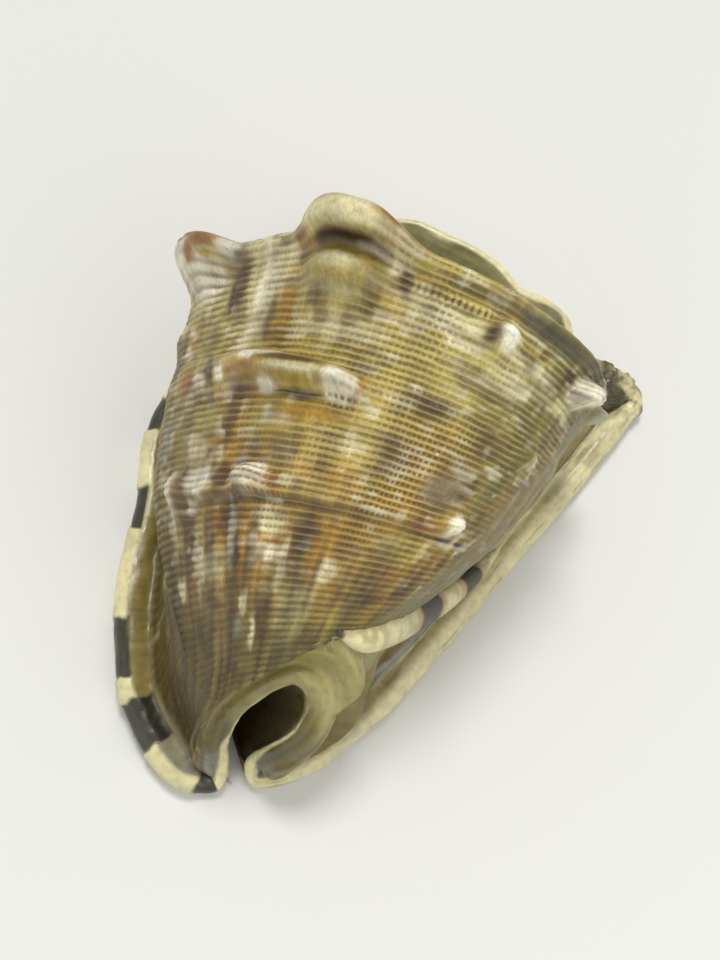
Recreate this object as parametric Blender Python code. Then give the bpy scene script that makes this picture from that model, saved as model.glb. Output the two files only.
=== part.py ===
"""A large helmet shell lying on its flat underside, as one closed solid.

Every length is in millimetres until the mesh is written in metres. The shell is
drawn with +X to the right, +Y towards the spire and +Z up, on the plane z = 0, and
is then moved so that the middle of its underside's box is the origin.
"""
import math

import bmesh
import bpy
import mathutils
import numpy as np

# The coiled body: its own unit is the shoulder radius on top of the last whorl.
SHOULDER_RADIUS = 62.0
AXIS_TILT = math.radians(11.6)
AXIS_HEIGHT = 0.72 * SHOULDER_RADIUS
GROWTH_APEX = 0.46
GROWTH_RATE = 0.097
SPIRE_RATE = 0.085
SPIRE_APEX = 0.38
SPIRE_SHOULDER = 0.103
SPIRE_TURNS = 4
TIP_RADIUS = 3.0
BODY_START = -150.0
BODY_END = 100.0
UNDERSIDE_CLEARANCE = 3.0

# Radius of the shoulder round the last whorl, as shares of the shoulder radius.
ROUND_ANGLE = (-150, -100, -60, -25, 0, 25, 60, 95, 125)
ROUND_RADIUS = (0.80, 0.81, 0.83, 0.92, 1.00, 1.02, 0.98, 1.12, 1.22)

# Profile of the whorl from the suture (first) over the shoulder (0) to the canal.
PROFILE_PLACE = (-0.42, -0.34, -0.20, -0.07, 0, 0.07, 0.35, 0.75, 1.15, 1.55, 1.95)
PROFILE_ALONG = (-0.15, -0.13, -0.085, -0.03, 0, 0.06, 0.35, 0.75, 1.15, 1.55, 1.95)
PROFILE_SHARE = (0.57, 0.66, 0.81, 0.945, 1.0, 0.995, 0.94, 0.85, 0.65, 0.40, 0.28)

# Where the coiled body ends against the canal and the lip, by angle round the axis.
FRONT_ANGLE = (-92, -80, -55, -20, -3, 14, 30, 42, 54, 66, 76, 82)
FRONT_PLACE = (1.28, 1.50, 1.47, 1.44, 1.50, 1.58, 1.63, 1.64, 1.60, 1.53, 1.42, 1.25)

# Knobs: angle, place, half widths (degrees, place), height, lean to the spire, bluntness.
KNOBS = (
    (84, 0.02, 13, 0.085, 9.0, 0.4, 1.0),
    (24, -0.01, 11, 0.110, 13.0, 0.45, 1.6),
    (24, 0.16, 7, 0.060, -2.5, 0.0, 1.0),
    (-17, 0.10, 5, 0.045, 5.5, 0.2, 1.0),
    (-62, 0.10, 7, 0.055, 8.0, 0.1, 1.0),
    (-100, 0.05, 8, 0.070, 6.0, 0.2, 1.0),
    (93, 0.30, 6, 0.040, 3.0, 0.1, 1.0),
    (14, 0.50, 6, 0.050, 6.0, 0.0, 1.0),
    (32, 0.47, 16, 0.045, 5.0, 0.0, 2.0),
    (-46, 0.55, 5, 0.040, 3.0, 0.1, 1.0),
    (37, 0.91, 7, 0.050, 5.0, 0.1, 1.0),
    (73, 0.94, 5, 0.090, 3.5, 0.0, 1.0),
    (-33, 0.92, 5, 0.045, 5.0, 0.1, 1.0),
)
# Spiral ridges that the knobs stand on: place, half width, height.
RIDGES = ((0.02, 0.05, 2.2), (0.50, 0.06, 0.8), (0.92, 0.05, 1.0))

# Stations of the margin, clockwise from the left jaw of the canal. Each one gives the
# centre of the rim (x, y, z), the radius of the rim, the angle and place on the body
# where its sheet starts, the share along the aperture (0 rear, 1 front), the side of
# the aperture (-1 left, 1 right) and how far the sheet folds up beside the canal.
OUTER_MARGIN = (
    (-8.3, -130.7, 2.8, 2.8, 48, 1.62, 1.00, -1, 0),
    (-16.0, -132.2, 3.4, 3.4, 60, 1.57, 0.92, -1, 0),
    (-28.8, -126.1, 4.0, 4.0, 72, 1.48, 0.85, -1, 0),
    (-38.7, -116.8, 4.3, 4.3, 79, 1.36, 0.76, -1, 0),
    (-46.4, -102.7, 5.0, 5.0, 82, 1.22, 0.66, -1, 0),
    (-52.8, -85.5, 5.0, 5.0, 83, 1.08, 0.56, -1, 0),
    (-58.2, -64.1, 4.7, 4.6, 84, 0.90, 0.44, -1, 0),
    (-65.4, -42.7, 4.3, 4.3, 85, 0.64, 0.30, -1, 0),
    (-66.3, -31.8, 4.3, 4.3, 86, 0.50, 0.24, -1, 0),
    (-64.5, -22.5, 4.0, 4.0, 88, 0.34, 0.18, -1, 0),
    (-65.4, -17.4, 4.3, 3.7, 91, 0.18, 0.11, -1, 0),
    (-63.2, 1.2, 6.2, 3.7, 96, 0.02, 0.04, -1, 0),
    (-58.9, 17.4, 9.3, 3.4, 102, -0.14, 0, -0.75, 0),
    (-50.8, 31.0, 13.6, 3.1, 107, -0.28, 0, -0.5, 0),
    (-41.5, 39.1, 18.6, 2.8, -246, -0.20, 0, -0.25, 0),
    (-33.5, 43.4, 22.9, 2.2, -238, -0.26, 0, 0, 0),
    (-19.4, 51.7, 24.8, 2.0, -228, -0.30, 0, 0.2, 0),
    (-6.6, 50.8, 26.0, 2.0, -212, -0.32, 0, 0.45, 0),
    (10.0, 48.4, 26.0, 2.0, -192, -0.33, 0, 0.75, 0),
    (22.2, 43.1, 24.8, 2.1, -178, -0.33, 0.03, 1, 0),
    (30.5, 43.1, 23.6, 2.6, -170, -0.33, 0.06, 1, 0),
    (36.7, 41.7, 21.7, 3.0, -164, -0.32, 0.09, 1, 0),
    (41.0, 37.9, 19.2, 2.8, -156, -0.30, 0.12, 1, 0),
    (45.3, 33.8, 16.1, 1.9, -148, -0.26, 0.14, 1, 0),
    (51.4, 35.7, 14.9, 2.0, -136, -0.18, 0.17, 1, 0),
    (59.5, 37.1, 12.4, 2.2, -124, -0.10, 0.19, 1, 0),
    (68.7, 36.9, 7.4, 2.8, -112, -0.03, 0.21, 1, 0),
    (72.4, 35.5, 3.4, 3.4, -103, 0.08, 0.25, 1, 0),
    (71.4, 28.6, 3.4, 3.4, -98, 0.16, 0.29, 1, 0),
    (62.2, -3.0, 3.1, 3.1, -93, 0.45, 0.40, 1, 0),
    (48.6, -40.1, 3.1, 3.1, -92, 0.80, 0.52, 1, 0),
    (36.3, -71.7, 3.4, 3.4, -92, 1.11, 0.65, 1, 0),
    (26.9, -97.8, 3.4, 3.4, -91, 1.31, 0.78, 1, 0.15),
    (21.7, -106.6, 3.2, 3.2, -90, 1.38, 0.84, 1, 0.35),
    (16.2, -113.1, 3.1, 3.1, -88, 1.43, 0.89, 1, 0.6),
    (5.6, -123.1, 2.8, 2.8, -83, 1.49, 0.96, 1, 0.8),
    (2.6, -124.8, 2.6, 2.6, -80, 1.50, 1.00, 1, 0.9),
)
# The rim of the canal goes on from the right jaw over the top to the left jaw.
CANAL_RIM = (
    (0.9, -124.0, 5.0, 2.5, -76, 1.50, 1.00, 1, 0.9),
    (0.2, -122.7, 8.1, 2.5, -71, 1.50, 0.99, 1, 0.9),
    (1.2, -121.2, 14.9, 2.6, -64, 1.49, 0.95, 1, 0.9),
    (5.9, -117.3, 22.9, 2.6, -55, 1.47, 0.89, 1, 0.9),
    (9.1, -112.3, 31.0, 2.6, -44, 1.45, 0.83, 1, 0.9),
    (9.5, -106.9, 36.0, 2.8, -32, 1.44, 0.80, 0.9, 0.8),
    (6.2, -101.9, 39.1, 2.8, -20, 1.44, 0.785, 0.5, 0.5),
    (0.8, -101.4, 40.3, 2.5, -11, 1.46, 0.78, 0, 0.2),
    (-3.0, -104.4, 39.7, 2.2, -3, 1.50, 0.785, -0.6, 0),
    (-6.3, -108.4, 36.6, 2.2, 6, 1.54, 0.82, -1, 0),
    (-9.5, -112.8, 31.0, 2.2, 14, 1.58, 0.87, -1, 0),
    (-11.1, -117.1, 23.6, 2.4, 22, 1.61, 0.92, -1, 0),
    (-10.8, -121.7, 15.5, 2.5, 30, 1.63, 0.97, -1, 0),
    (-8.9, -125.6, 8.7, 2.6, 37, 1.64, 1.00, -1, 0),
)
FOLD_HEIGHT = 4.0
SHEET_SINK = 0.6
ROLL_START = math.radians(125)
OUTER_ROLL_END = math.radians(-90)
RAISED_ROLL_END = math.radians(-20)
RAISED_RIM = 15.0
RAISED_RUN = 25.0

# The aperture: middle line and half width of the narrow slot, rear to front.
SLOT_LINE = ((-44, 22), (-45, -2), (-44, -25), (-40, -50), (-33.5, -78), (-24, -101),
             (-12, -119), (-2.2, -131))
SLOT_HALF_WIDTH = (2.5, 4.0, 5.0, 5.0, 4.6, 4.0, 3.0, 2.4)
SLOT_DEPTH = 17.0

# The old varix: x, y, z and radius along the bead beside the shield.
VARIX = ((6, -90, 53.5, 0.8), (13, -88.5, 49.5, 2.6), (19, -82, 43, 3.6),
         (25, -73, 33, 4.2), (31, -63.5, 24, 4.3), (36.5, -53, 16, 3.8),
         (41.5, -42.5, 9.5, 2.2), (43.5, -36, 7, 0.8))

# Fineness of the solid: the shapes are fused on a lattice and then made lighter.
UNDERCUT = 2.0
GROUND_BAND = 1.0
JAW_SHARE = 0.74
SLOT_RUN_OUT = 12.0
LATTICE = 1.4
TRIANGLE_GOAL = 8600
MILLIMETRE = 0.001
# From the point under the coiling axis to the middle of the finished shell's box.
ORIGIN_SHIFT = (0.8, 40.85)

# Radius of the shoulder where the last whorl begins, as a share of the radius on top,
# and how far past the lip the rings keep growing before they run back to their start.
EARLY_RADIUS = 0.80
OVERRUN = 25.0
# Rings of the coil: degrees from one to the next, and points from suture to canal.
WHORL_STEP = 2.0
WHORL_POINTS = 110
SPIRE_STEP = 5.0
SPIRE_POINTS = 30
SPIRE_LAST_PLACE = 0.6
SPIRE_CORE = 0.2
TIP_SINK = 0.02
# Sections of the margin: how many, the points of their back, roll and underside, and the
# lengths of their handles as shares of the distance that they span.
MARGIN_SECTIONS = 420
BACK_POINTS = 22
ROLL_POINTS = 14
UNDER_POINTS = 16
BACK_LEAVE = 0.38
BACK_ARRIVE = 0.34
UNDER_HANDLE = 0.33
RIM_DROP = 0.6
FOLD_MIDDLE = 0.45
FOLD_WIDTH = 0.2
# The aperture's vault opens into the canal over this share, and gets lower to the front.
OPENING_SPAN = 0.06
LOW_FROM = 0.7
LOW_SHARE = 0.3
SLOT_SECTIONS = 40
VAULT_POINTS = 7
JAW_SIDE = 0.4
VARIX_RINGS = 60
VARIX_POINTS = 16

COLOUR = (0.41, 0.29, 0.12, 1.0)
ROUGHNESS = 0.4


def spline(knots, values, at, keep_order=False):
    """Smooth curve through the values at the knots, read at any place."""
    knots = np.asarray(knots, float)
    values = np.asarray(values, float)
    flat = values.ndim == 1
    if flat:
        values = values[:, None]
    step = np.diff(knots)[:, None]
    slope = np.diff(values, axis=0) / step
    tangent = np.empty_like(values)
    tangent[0] = slope[0]
    tangent[-1] = slope[-1]
    tangent[1:-1] = (slope[1:] * step[:-1] + slope[:-1] * step[1:]) / (step[1:] + step[:-1])
    if keep_order:
        tangent[1:-1][slope[1:] * slope[:-1] <= 0] = 0
    at = np.asarray(at, float)
    span = np.clip(np.searchsorted(knots, at, side="right") - 1, 0, len(knots) - 2)
    width = step[span, 0]
    t = np.clip((at - knots[span]) / width, 0, 1)[..., None]
    width = width[..., None]
    result = ((2 * t**3 - 3 * t**2 + 1) * values[span]
              + (t**3 - 2 * t**2 + t) * width * tangent[span]
              + (3 * t**2 - 2 * t**3) * values[span + 1]
              + (t**3 - t**2) * width * tangent[span + 1])
    return result[..., 0] if flat else result


def closed_spline(knots, length, values, at):
    """The same curve through stations that close on themselves after the length."""
    over = 3
    values = np.asarray(values, float)
    all_knots = np.concatenate([knots[-over:] - length, knots, knots[:over] + length])
    all_values = np.concatenate([values[-over:], values, values[:over]])
    return spline(all_knots, all_values, at)


def unit(vectors):
    """Vectors scaled to length one."""
    return vectors / np.linalg.norm(vectors, axis=-1, keepdims=True)


def tilted(across, along, up):
    """Points given about the coiling axis, turned into the shell's frame."""
    cosine, sine = math.cos(AXIS_TILT), math.sin(AXIS_TILT)
    return np.stack([across, along * cosine - up * sine,
                     AXIS_HEIGHT + along * sine + up * cosine], -1)


def relief(angle, place):
    """Height of the knobs and ridges over the whorl, and their lean to the spire."""
    height = np.zeros(np.broadcast(angle, place).shape)
    lean = np.zeros_like(height)
    for at, where, half_angle, half_place, top, leaning, bluntness in KNOBS:
        off = ((angle - at) / half_angle) ** 2 + ((place - where) / half_place) ** 2
        bump = top * np.exp(-off**bluntness)
        height = height + bump
        lean = lean + bump * leaning
    for where, half_place, top in RIDGES:
        height = height + top * np.exp(-((place - where) / half_place) ** 2)
    return height, lean


def body_point(angle, place, with_relief=True):
    """Surface of the last whorl: a profile that grows as it turns round the axis.

    The angle is in degrees, 0 on top and growing towards the lip on the left. Past
    the lip the surface runs back into its own start, so that the rings close.
    """
    angle, place = np.broadcast_arrays(np.asarray(angle, float), np.asarray(place, float))
    back = np.clip((angle - BODY_END) / (BODY_START + 360 - BODY_END), 0, 1)
    back = back * back * (3 - 2 * back)
    own = np.minimum(angle, BODY_END + OVERRUN)
    early = EARLY_RADIUS * np.exp(SPIRE_RATE * np.radians(angle - BODY_START))
    radius = np.where(angle < BODY_START, early, spline(ROUND_ANGLE, ROUND_RADIUS, own))
    radius = radius * (1 - back) + ROUND_RADIUS[0] * back
    growth = np.exp(GROWTH_RATE * np.radians(own))
    growth = growth * (1 - back) + math.exp(GROWTH_RATE * math.radians(BODY_START)) * back
    share = spline(PROFILE_PLACE, PROFILE_SHARE, place, keep_order=True)
    along = spline(PROFILE_PLACE, PROFILE_ALONG, place)
    reach = radius * share * SHOULDER_RADIUS
    height = (GROWTH_APEX - growth * (GROWTH_APEX + along)) * SHOULDER_RADIUS
    if with_relief:
        bump, lean = relief(angle, place)
        fade = 1 - back
        reach = reach + bump * fade
        height = height + lean * fade
    turn = np.radians(angle)
    return tilted(-np.sin(turn) * reach, height, np.cos(turn) * reach)


def grid_faces(rows, columns, wrap_rows=False, wrap_columns=False):
    """Four-sided faces of a grid of points, closed on itself where asked."""
    index = np.arange(rows * columns).reshape(rows, columns)
    if wrap_rows:
        index = np.vstack([index, index[:1]])
    if wrap_columns:
        index = np.hstack([index, index[:, :1]])
    corners = (index[:-1, :-1], index[1:, :-1], index[1:, 1:], index[:-1, 1:])
    return np.stack(corners, -1).reshape(-1, 4).tolist()


def add_mesh(target, points, faces):
    """Add points and faces to the mesh that is being gathered."""
    vertices = [target.verts.new(point) for point in np.asarray(points).tolist()]
    for face in faces:
        corners = list(dict.fromkeys(face))
        target.faces.new([vertices[corner] for corner in corners])


def add_capped(target, grid):
    """Add rings of points, joined into a tube whose two ends close on their middles."""
    rings, around, _ = grid.shape
    points = np.vstack([grid.reshape(-1, 3), grid[0].mean(0), grid[-1].mean(0)])
    faces = grid_faces(rings, around, wrap_columns=True)
    first, last = rings * around, rings * around + 1
    for i in range(around):
        after = (i + 1) % around
        faces.append((first, i, after))
        faces.append((last, (rings - 1) * around + after, (rings - 1) * around + i))
    add_mesh(target, points, faces)


def add_body(target):
    """The last whorl as rings round the axis, from the suture to the canal."""
    angle = np.arange(BODY_START, BODY_START + 360, WHORL_STEP)
    share = np.linspace(0, 1, WHORL_POINTS)
    wrapped = np.concatenate([FRONT_ANGLE, [FRONT_ANGLE[0] + 360]])
    front = spline(wrapped, (*FRONT_PLACE, FRONT_PLACE[0]),
                   (angle - FRONT_ANGLE[0]) % 360 + FRONT_ANGLE[0])
    place = PROFILE_PLACE[0] + share[:, None] * (front - PROFILE_PLACE[0])
    grid = body_point(angle[None, :], place)
    grid[..., 2] = np.maximum(grid[..., 2], UNDERSIDE_CLEARANCE)
    add_capped(target, grid)


def add_spire(target):
    """The earlier whorls as a coil that narrows to the tip of the spire."""
    angle = np.arange(BODY_START - 360 * SPIRE_TURNS, BODY_START + 1, SPIRE_STEP)[:, None]
    place = np.linspace(PROFILE_PLACE[0], SPIRE_LAST_PLACE, SPIRE_POINTS)[None, :]
    size = np.exp(SPIRE_RATE * np.radians(angle - BODY_START))
    share = spline(PROFILE_PLACE, PROFILE_SHARE, place, keep_order=True)
    along = spline(PROFILE_PLACE, PROFILE_ALONG, place)
    reach = EARLY_RADIUS * size * share * SHOULDER_RADIUS
    drop = (SPIRE_APEX - SPIRE_SHOULDER) * size + EARLY_RADIUS * size * along
    height = (SPIRE_APEX - drop) * SHOULDER_RADIUS
    middle = height.mean(1, keepdims=True)
    reach = np.concatenate([reach, reach[:, :1] * 0], 1)
    height = np.concatenate([height, middle - SPIRE_CORE * size * SHOULDER_RADIUS], 1)
    turn = np.radians(angle)
    grid = tilted(-np.sin(turn) * reach, height, np.cos(turn) * reach)
    grid[..., 2] = np.maximum(grid[..., 2], UNDERSIDE_CLEARANCE)
    add_capped(target, grid)
    tip = tilted(0, (SPIRE_APEX - TIP_SINK) * SHOULDER_RADIUS, 0)
    bmesh.ops.create_uvsphere(target, u_segments=16, v_segments=12, radius=TIP_RADIUS,
                              matrix=mathutils.Matrix.Translation(tip))


def slot_frame(share):
    """Middle, half width, direction and left-to-right normal along the aperture."""
    line = np.asarray(SLOT_LINE, float)
    knots = np.concatenate([[0], np.cumsum(np.linalg.norm(np.diff(line, axis=0), axis=1))])
    knots = knots / knots[-1]
    step = 1e-3
    middle = spline(knots, line, share)
    half = spline(knots, SLOT_HALF_WIDTH, share)
    ahead = spline(knots, line, np.clip(share + step, 0, 1))
    behind = spline(knots, line, np.clip(share - step, 0, 1))
    way = unit(ahead - behind)
    return middle, half, way, np.stack([-way[..., 1], way[..., 0]], -1)


def margin_stations():
    """The stations of the margin as arrays: rim, start on the body, edge at the slot."""
    rows = np.array(OUTER_MARGIN + CANAL_RIM, float)
    canal = np.arange(len(rows)) >= len(OUTER_MARGIN)
    start = body_point(rows[:, 4], rows[:, 5], with_relief=False)
    start[:, 2] = np.maximum(start[:, 2], UNDERSIDE_CLEARANCE)
    middle, half, way, normal = slot_frame(rows[:, 6])
    side = rows[:, 7] * math.pi / 2
    across = np.sin(side)[:, None] * normal
    ahead = np.where(canal | (np.abs(rows[:, 7]) == 1), 0, np.cos(side))[:, None] * way
    edge = middle + half[:, None] * (across - ahead)
    edge = np.column_stack([edge, np.full(len(rows), -UNDERCUT)])
    axis = np.array([0, math.cos(AXIS_TILT), math.sin(AXIS_TILT)])
    base = np.array([0, 0, AXIS_HEIGHT])
    on_axis = base + ((start - base) @ axis)[:, None] * axis
    top = np.column_stack([middle, np.full(len(rows), SLOT_DEPTH)])
    open_canal = np.clip((rows[:, 6:7] - JAW_SHARE) / OPENING_SPAN, 0, 1)
    core = on_axis + ((edge + start) / 2 - on_axis) * open_canal
    vault = top + (edge - top) * open_canal
    return rows, start, edge, vault, core, canal


def between(share, first, handle_a, handle_b, last):
    """Points of the curve that leaves and arrives along its two handles."""
    rest = 1 - share
    return (rest**3 * first + 3 * rest**2 * share * handle_a
            + 3 * rest * share**2 * handle_b + share**3 * last)


def margin_grid(count):
    """Sections of the margin at places along the closed loop of its rim."""
    rows, start, edge, vault, core, canal = margin_stations()
    chord = np.linalg.norm(np.roll(rows[:, :3], -1, 0) - rows[:, :3], axis=1)
    knots = np.concatenate([[0], np.cumsum(chord)[:-1]])
    length = chord.sum()
    at = np.linspace(0, length, count, endpoint=False)
    values = np.column_stack([rows[:, :4], rows[:, 8], canal, start, edge, vault, core])
    values = closed_spline(knots, length, values, at)
    rim, radius = values[:, 0:3], values[:, 3:4]
    fold, canal = np.clip(values[:, 4:5], 0, 1), np.clip(values[:, 5:6], 0, 1)
    start, edge, vault, core = (values[:, i:i + 3] for i in (6, 9, 12, 15))

    forward = np.roll(rim, -1, 0) - np.roll(rim, 1, 0)
    out = unit(np.stack([-forward[:, 1], forward[:, 0], 0 * forward[:, 0]], 1))
    up = np.array([0, 0, 1.0])
    axis = np.array([0, math.cos(AXIS_TILT), math.sin(AXIS_TILT)])
    spoke = start - np.array([0, 0, AXIS_HEIGHT])
    spoke = unit(spoke - (spoke @ axis)[:, None] * axis)

    rolled_in = rim + radius * (math.cos(ROLL_START) * out + math.sin(ROLL_START) * up)
    arrive = math.sin(ROLL_START) * out - math.cos(ROLL_START) * up
    run = rolled_in - start
    leave = unit(run - (run * spoke).sum(1, keepdims=True) * spoke)
    distance = np.linalg.norm(run, axis=1, keepdims=True)
    first = start - spoke * SHEET_SINK
    share = np.linspace(0, 1, BACK_POINTS, endpoint=False)[:, None, None]
    back = between(share, first, first + leave * distance * BACK_LEAVE,
                   rolled_in - arrive * distance * BACK_ARRIVE, rolled_in)
    raised = unit(np.cross(unit(forward), leave))
    raised = raised * np.where(raised[:, 2:] < 0, -1, 1)
    swell = np.exp(-((share - FOLD_MIDDLE) / FOLD_WIDTH) ** 2)
    back = back + swell * fold * FOLD_HEIGHT * raised

    raised_rim = np.clip((rim[:, 2:] - radius) / RAISED_RIM, 0, 1)
    turned_down = np.maximum(canal, raised_rim)
    roll_end = OUTER_ROLL_END + (RAISED_ROLL_END - OUTER_ROLL_END) * turned_down
    share = np.linspace(0, 1, ROLL_POINTS, endpoint=False)[:, None, None]
    turn = ROLL_START + (roll_end - ROLL_START) * share
    rolled = rim + radius * (np.cos(turn) * out + np.sin(turn) * up)

    rolled_out = rim + radius * (np.cos(roll_end) * out + np.sin(roll_end) * up)
    flat_run = unit((edge - rolled_out) * np.array([1, 1, 0]))
    leave = np.sin(roll_end) * out - np.cos(roll_end) * up
    distance = np.linalg.norm(edge - rolled_out, axis=1, keepdims=True)
    plain, drop = distance * UNDER_HANDLE, rim[:, 2:] * RIM_DROP
    handle_a = np.where(canal > 0.5, plain, plain + (drop - plain) * raised_rim)
    handle_b = np.where(canal > 0.5, plain, plain + (distance - RAISED_RUN - plain) * raised_rim)
    share = np.linspace(0, 1, UNDER_POINTS)[:, None, None]
    under = between(share, rolled_out, rolled_out + leave * handle_a,
                    edge - flat_run * handle_b, edge)
    inside = np.stack([vault, core])
    grid = np.concatenate([back, rolled, under, inside], 0).transpose(1, 0, 2)
    grid[..., 2] = np.where(grid[..., 2] < GROUND_BAND, -UNDERCUT, grid[..., 2])
    return grid


def add_margin(target):
    """The margin: lip, rear collar, shield and canal rim as one closed band.

    Each section leaves the body, runs out over the back of the sheet, rolls round the
    rim and comes back under it to the edge of the aperture.
    """
    grid = margin_grid(MARGIN_SECTIONS)
    loops, around, _ = grid.shape
    add_mesh(target, grid.reshape(-1, 3), grid_faces(loops, around, True, True))


def add_jaws(target):
    """The filled corners between the canal's rim, the outer margin and the body."""
    rows, start, edge, *_ = margin_stations()
    for side in (-1, 1):
        picked = (rows[:, 7] * side > JAW_SIDE) & (rows[:, 6] > JAW_SHARE)
        points = np.vstack([start[picked], edge[picked]])
        corners = [target.verts.new(point) for point in points.tolist()]
        found = bmesh.ops.convex_hull(target, input=corners, use_existing_faces=False)
        inner = set(found["geom_interior"]) | set(found["geom_unused"])
        inner = [item for item in inner if isinstance(item, bmesh.types.BMVert)]
        bmesh.ops.delete(target, geom=inner, context="VERTS")


def tube_grid(path, radius, around):
    """Rings of the given radius round a path of points."""
    way = unit(np.gradient(path, axis=0))
    side = unit(np.cross(way, (0, 0, 1.0)))
    over = np.cross(side, way)
    turn = np.linspace(0, 2 * math.pi, around, endpoint=False)[None, :, None]
    ring = np.cos(turn) * side[:, None] + np.sin(turn) * over[:, None]
    return path[:, None] + radius[:, None, None] * ring


def add_varix(target):
    """The old varix: a bead that tapers at both ends, half sunk beside the shield."""
    rows = np.array(VARIX, float)
    values = spline(np.linspace(0, 1, len(rows)), rows, np.linspace(0, 1, VARIX_RINGS))
    add_capped(target, tube_grid(values[:, :3], values[:, 3], VARIX_POINTS))


def slot_cutter():
    """The space of the aperture: a narrow vaulted trench along the slot's line."""
    share = np.linspace(0, 1, SLOT_SECTIONS)
    middle, half, way, normal = slot_frame(share)
    middle[0] = middle[0] - way[0] * half[0]
    middle[-1] = middle[-1] + way[-1] * SLOT_RUN_OUT
    depth = SLOT_DEPTH * (1 - LOW_SHARE * np.clip((share - LOW_FROM) / (1 - LOW_FROM), 0, 1))
    turn = np.linspace(0, math.pi, VAULT_POINTS)
    across = np.concatenate([[1], np.cos(turn), [-1]])
    height = np.concatenate([[0], np.sin(turn), [0]])
    flat = middle[:, None] + (half[:, None] * across)[..., None] * normal[:, None]
    vault = depth[:, None] - half[:, None] * (1 - height)
    level = np.where(np.arange(len(across)) % (len(across) - 1) == 0, -3 * UNDERCUT, vault)
    grid = np.concatenate([flat, level[..., None]], -1)
    target = bmesh.new()
    add_capped(target, grid)
    return finished_object(target, "aperture_cutter")


def finished_object(target, name):
    """Turn the gathered mesh into an object in metres with its faces outwards."""
    bmesh.ops.recalc_face_normals(target, faces=target.faces)
    bmesh.ops.scale(target, vec=(MILLIMETRE,) * 3, verts=target.verts)
    mesh = bpy.data.meshes.new(name)
    target.to_mesh(mesh)
    target.free()
    item = bpy.data.objects.new(name, mesh)
    bpy.context.scene.collection.objects.link(item)
    return item


def apply_modifiers(item):
    """Replace the object's mesh by the one its modifiers give."""
    shown = item.evaluated_get(bpy.context.evaluated_depsgraph_get())
    made = bpy.data.meshes.new_from_object(shown)
    item.modifiers.clear()
    item.data = made


def keep_largest(item):
    """Leave only the largest joined piece: any closed hollow inside is filled."""
    target = bmesh.new()
    target.from_mesh(item.data)
    left = set(target.verts)
    best = set()
    while left:
        found = {left.pop()}
        edge_of = set(found)
        while edge_of:
            near = {e.other_vert(v) for v in edge_of for e in v.link_edges} - found
            found |= near
            edge_of = near
        left -= found
        best = max(best, found, key=len)
    spare = [v for v in target.verts if v not in best]
    bmesh.ops.delete(target, geom=spare, context="VERTS")
    target.to_mesh(item.data)
    target.free()


def cut_flat(item):
    """Cut the underside off at the plane z = 0 and close it with flat faces."""
    target = bmesh.new()
    target.from_mesh(item.data)
    everything = target.verts[:] + target.edges[:] + target.faces[:]
    cut = bmesh.ops.bisect_plane(target, geom=everything, dist=1e-6, plane_co=(0, 0, 0),
                                 plane_no=(0, 0, -1), clear_outer=True)
    rim = [edge for edge in cut["geom_cut"] if isinstance(edge, bmesh.types.BMEdge)]
    for edge in rim:
        for vertex in edge.verts:
            vertex.co.z = 0
    bmesh.ops.triangle_fill(target, use_beauty=True, use_dissolve=False, edges=rim)
    bmesh.ops.recalc_face_normals(target, faces=target.faces)
    target.to_mesh(item.data)
    target.free()


def place_on_origin(item):
    """Move the mesh so that the middle of its underside's box is the origin."""
    for vertex in item.data.vertices:
        vertex.co.x += ORIGIN_SHIFT[0] * MILLIMETRE
        vertex.co.y += ORIGIN_SHIFT[1] * MILLIMETRE


def paint(item):
    """Give the shell its plain material and smooth shading."""
    material = bpy.data.materials.new("glazed_shell")
    material.use_nodes = True
    surface = material.node_tree.nodes["Principled BSDF"]
    surface.inputs["Base Color"].default_value = COLOUR
    surface.inputs["Roughness"].default_value = ROUGHNESS
    surface.inputs["Metallic"].default_value = 0.0
    item.data.materials.clear()
    item.data.materials.append(material)
    for face in item.data.polygons:
        face.use_smooth = True


def main():
    for item in list(bpy.data.objects):
        bpy.data.objects.remove(item)
    gathered = bmesh.new()
    add_body(gathered)
    add_spire(gathered)
    add_margin(gathered)
    add_jaws(gathered)
    add_varix(gathered)
    shell = finished_object(gathered, "shell")

    fuse = shell.modifiers.new("Fuse", "REMESH")
    fuse.mode = "VOXEL"
    fuse.voxel_size = LATTICE * MILLIMETRE
    apply_modifiers(shell)
    keep_largest(shell)
    lighten = shell.modifiers.new("Lighten", "DECIMATE")
    lighten.ratio = TRIANGLE_GOAL / (2 * len(shell.data.polygons))
    apply_modifiers(shell)

    cutter = slot_cutter()
    cutter.hide_render = True
    cutter.display_type = "WIRE"
    slot = shell.modifiers.new("Aperture", "BOOLEAN")
    slot.operation = "DIFFERENCE"
    slot.solver = "EXACT"
    slot.object = cutter
    apply_modifiers(shell)
    bpy.data.objects.remove(cutter)
    cut_flat(shell)

    place_on_origin(shell)
    paint(shell)


main()
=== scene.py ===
"""Helmet shell: the finished surfaces of a large sea snail shell lying on its flat underside.

Lengths in the shape tables are millimetres in the shell's own frame: +X right, +Y to the
spire, +Z up, with the point under the coiling axis as origin. The meshes are written in
metres after the move to the middle of the shell's box. Places on the coiled body are an
angle round the axis in degrees, 0 on top and growing towards the lip, and a place along
the profile, 0 on the shoulder and growing towards the canal. Places on the margin are
millimetres along its closed rim and across it, above 0 on the back and below 0 under it.
"""
import math

import bmesh
import bpy
import numpy as np
from bpy.props import FloatProperty, FloatVectorProperty, PointerProperty
from mathutils import Matrix, Vector


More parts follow.
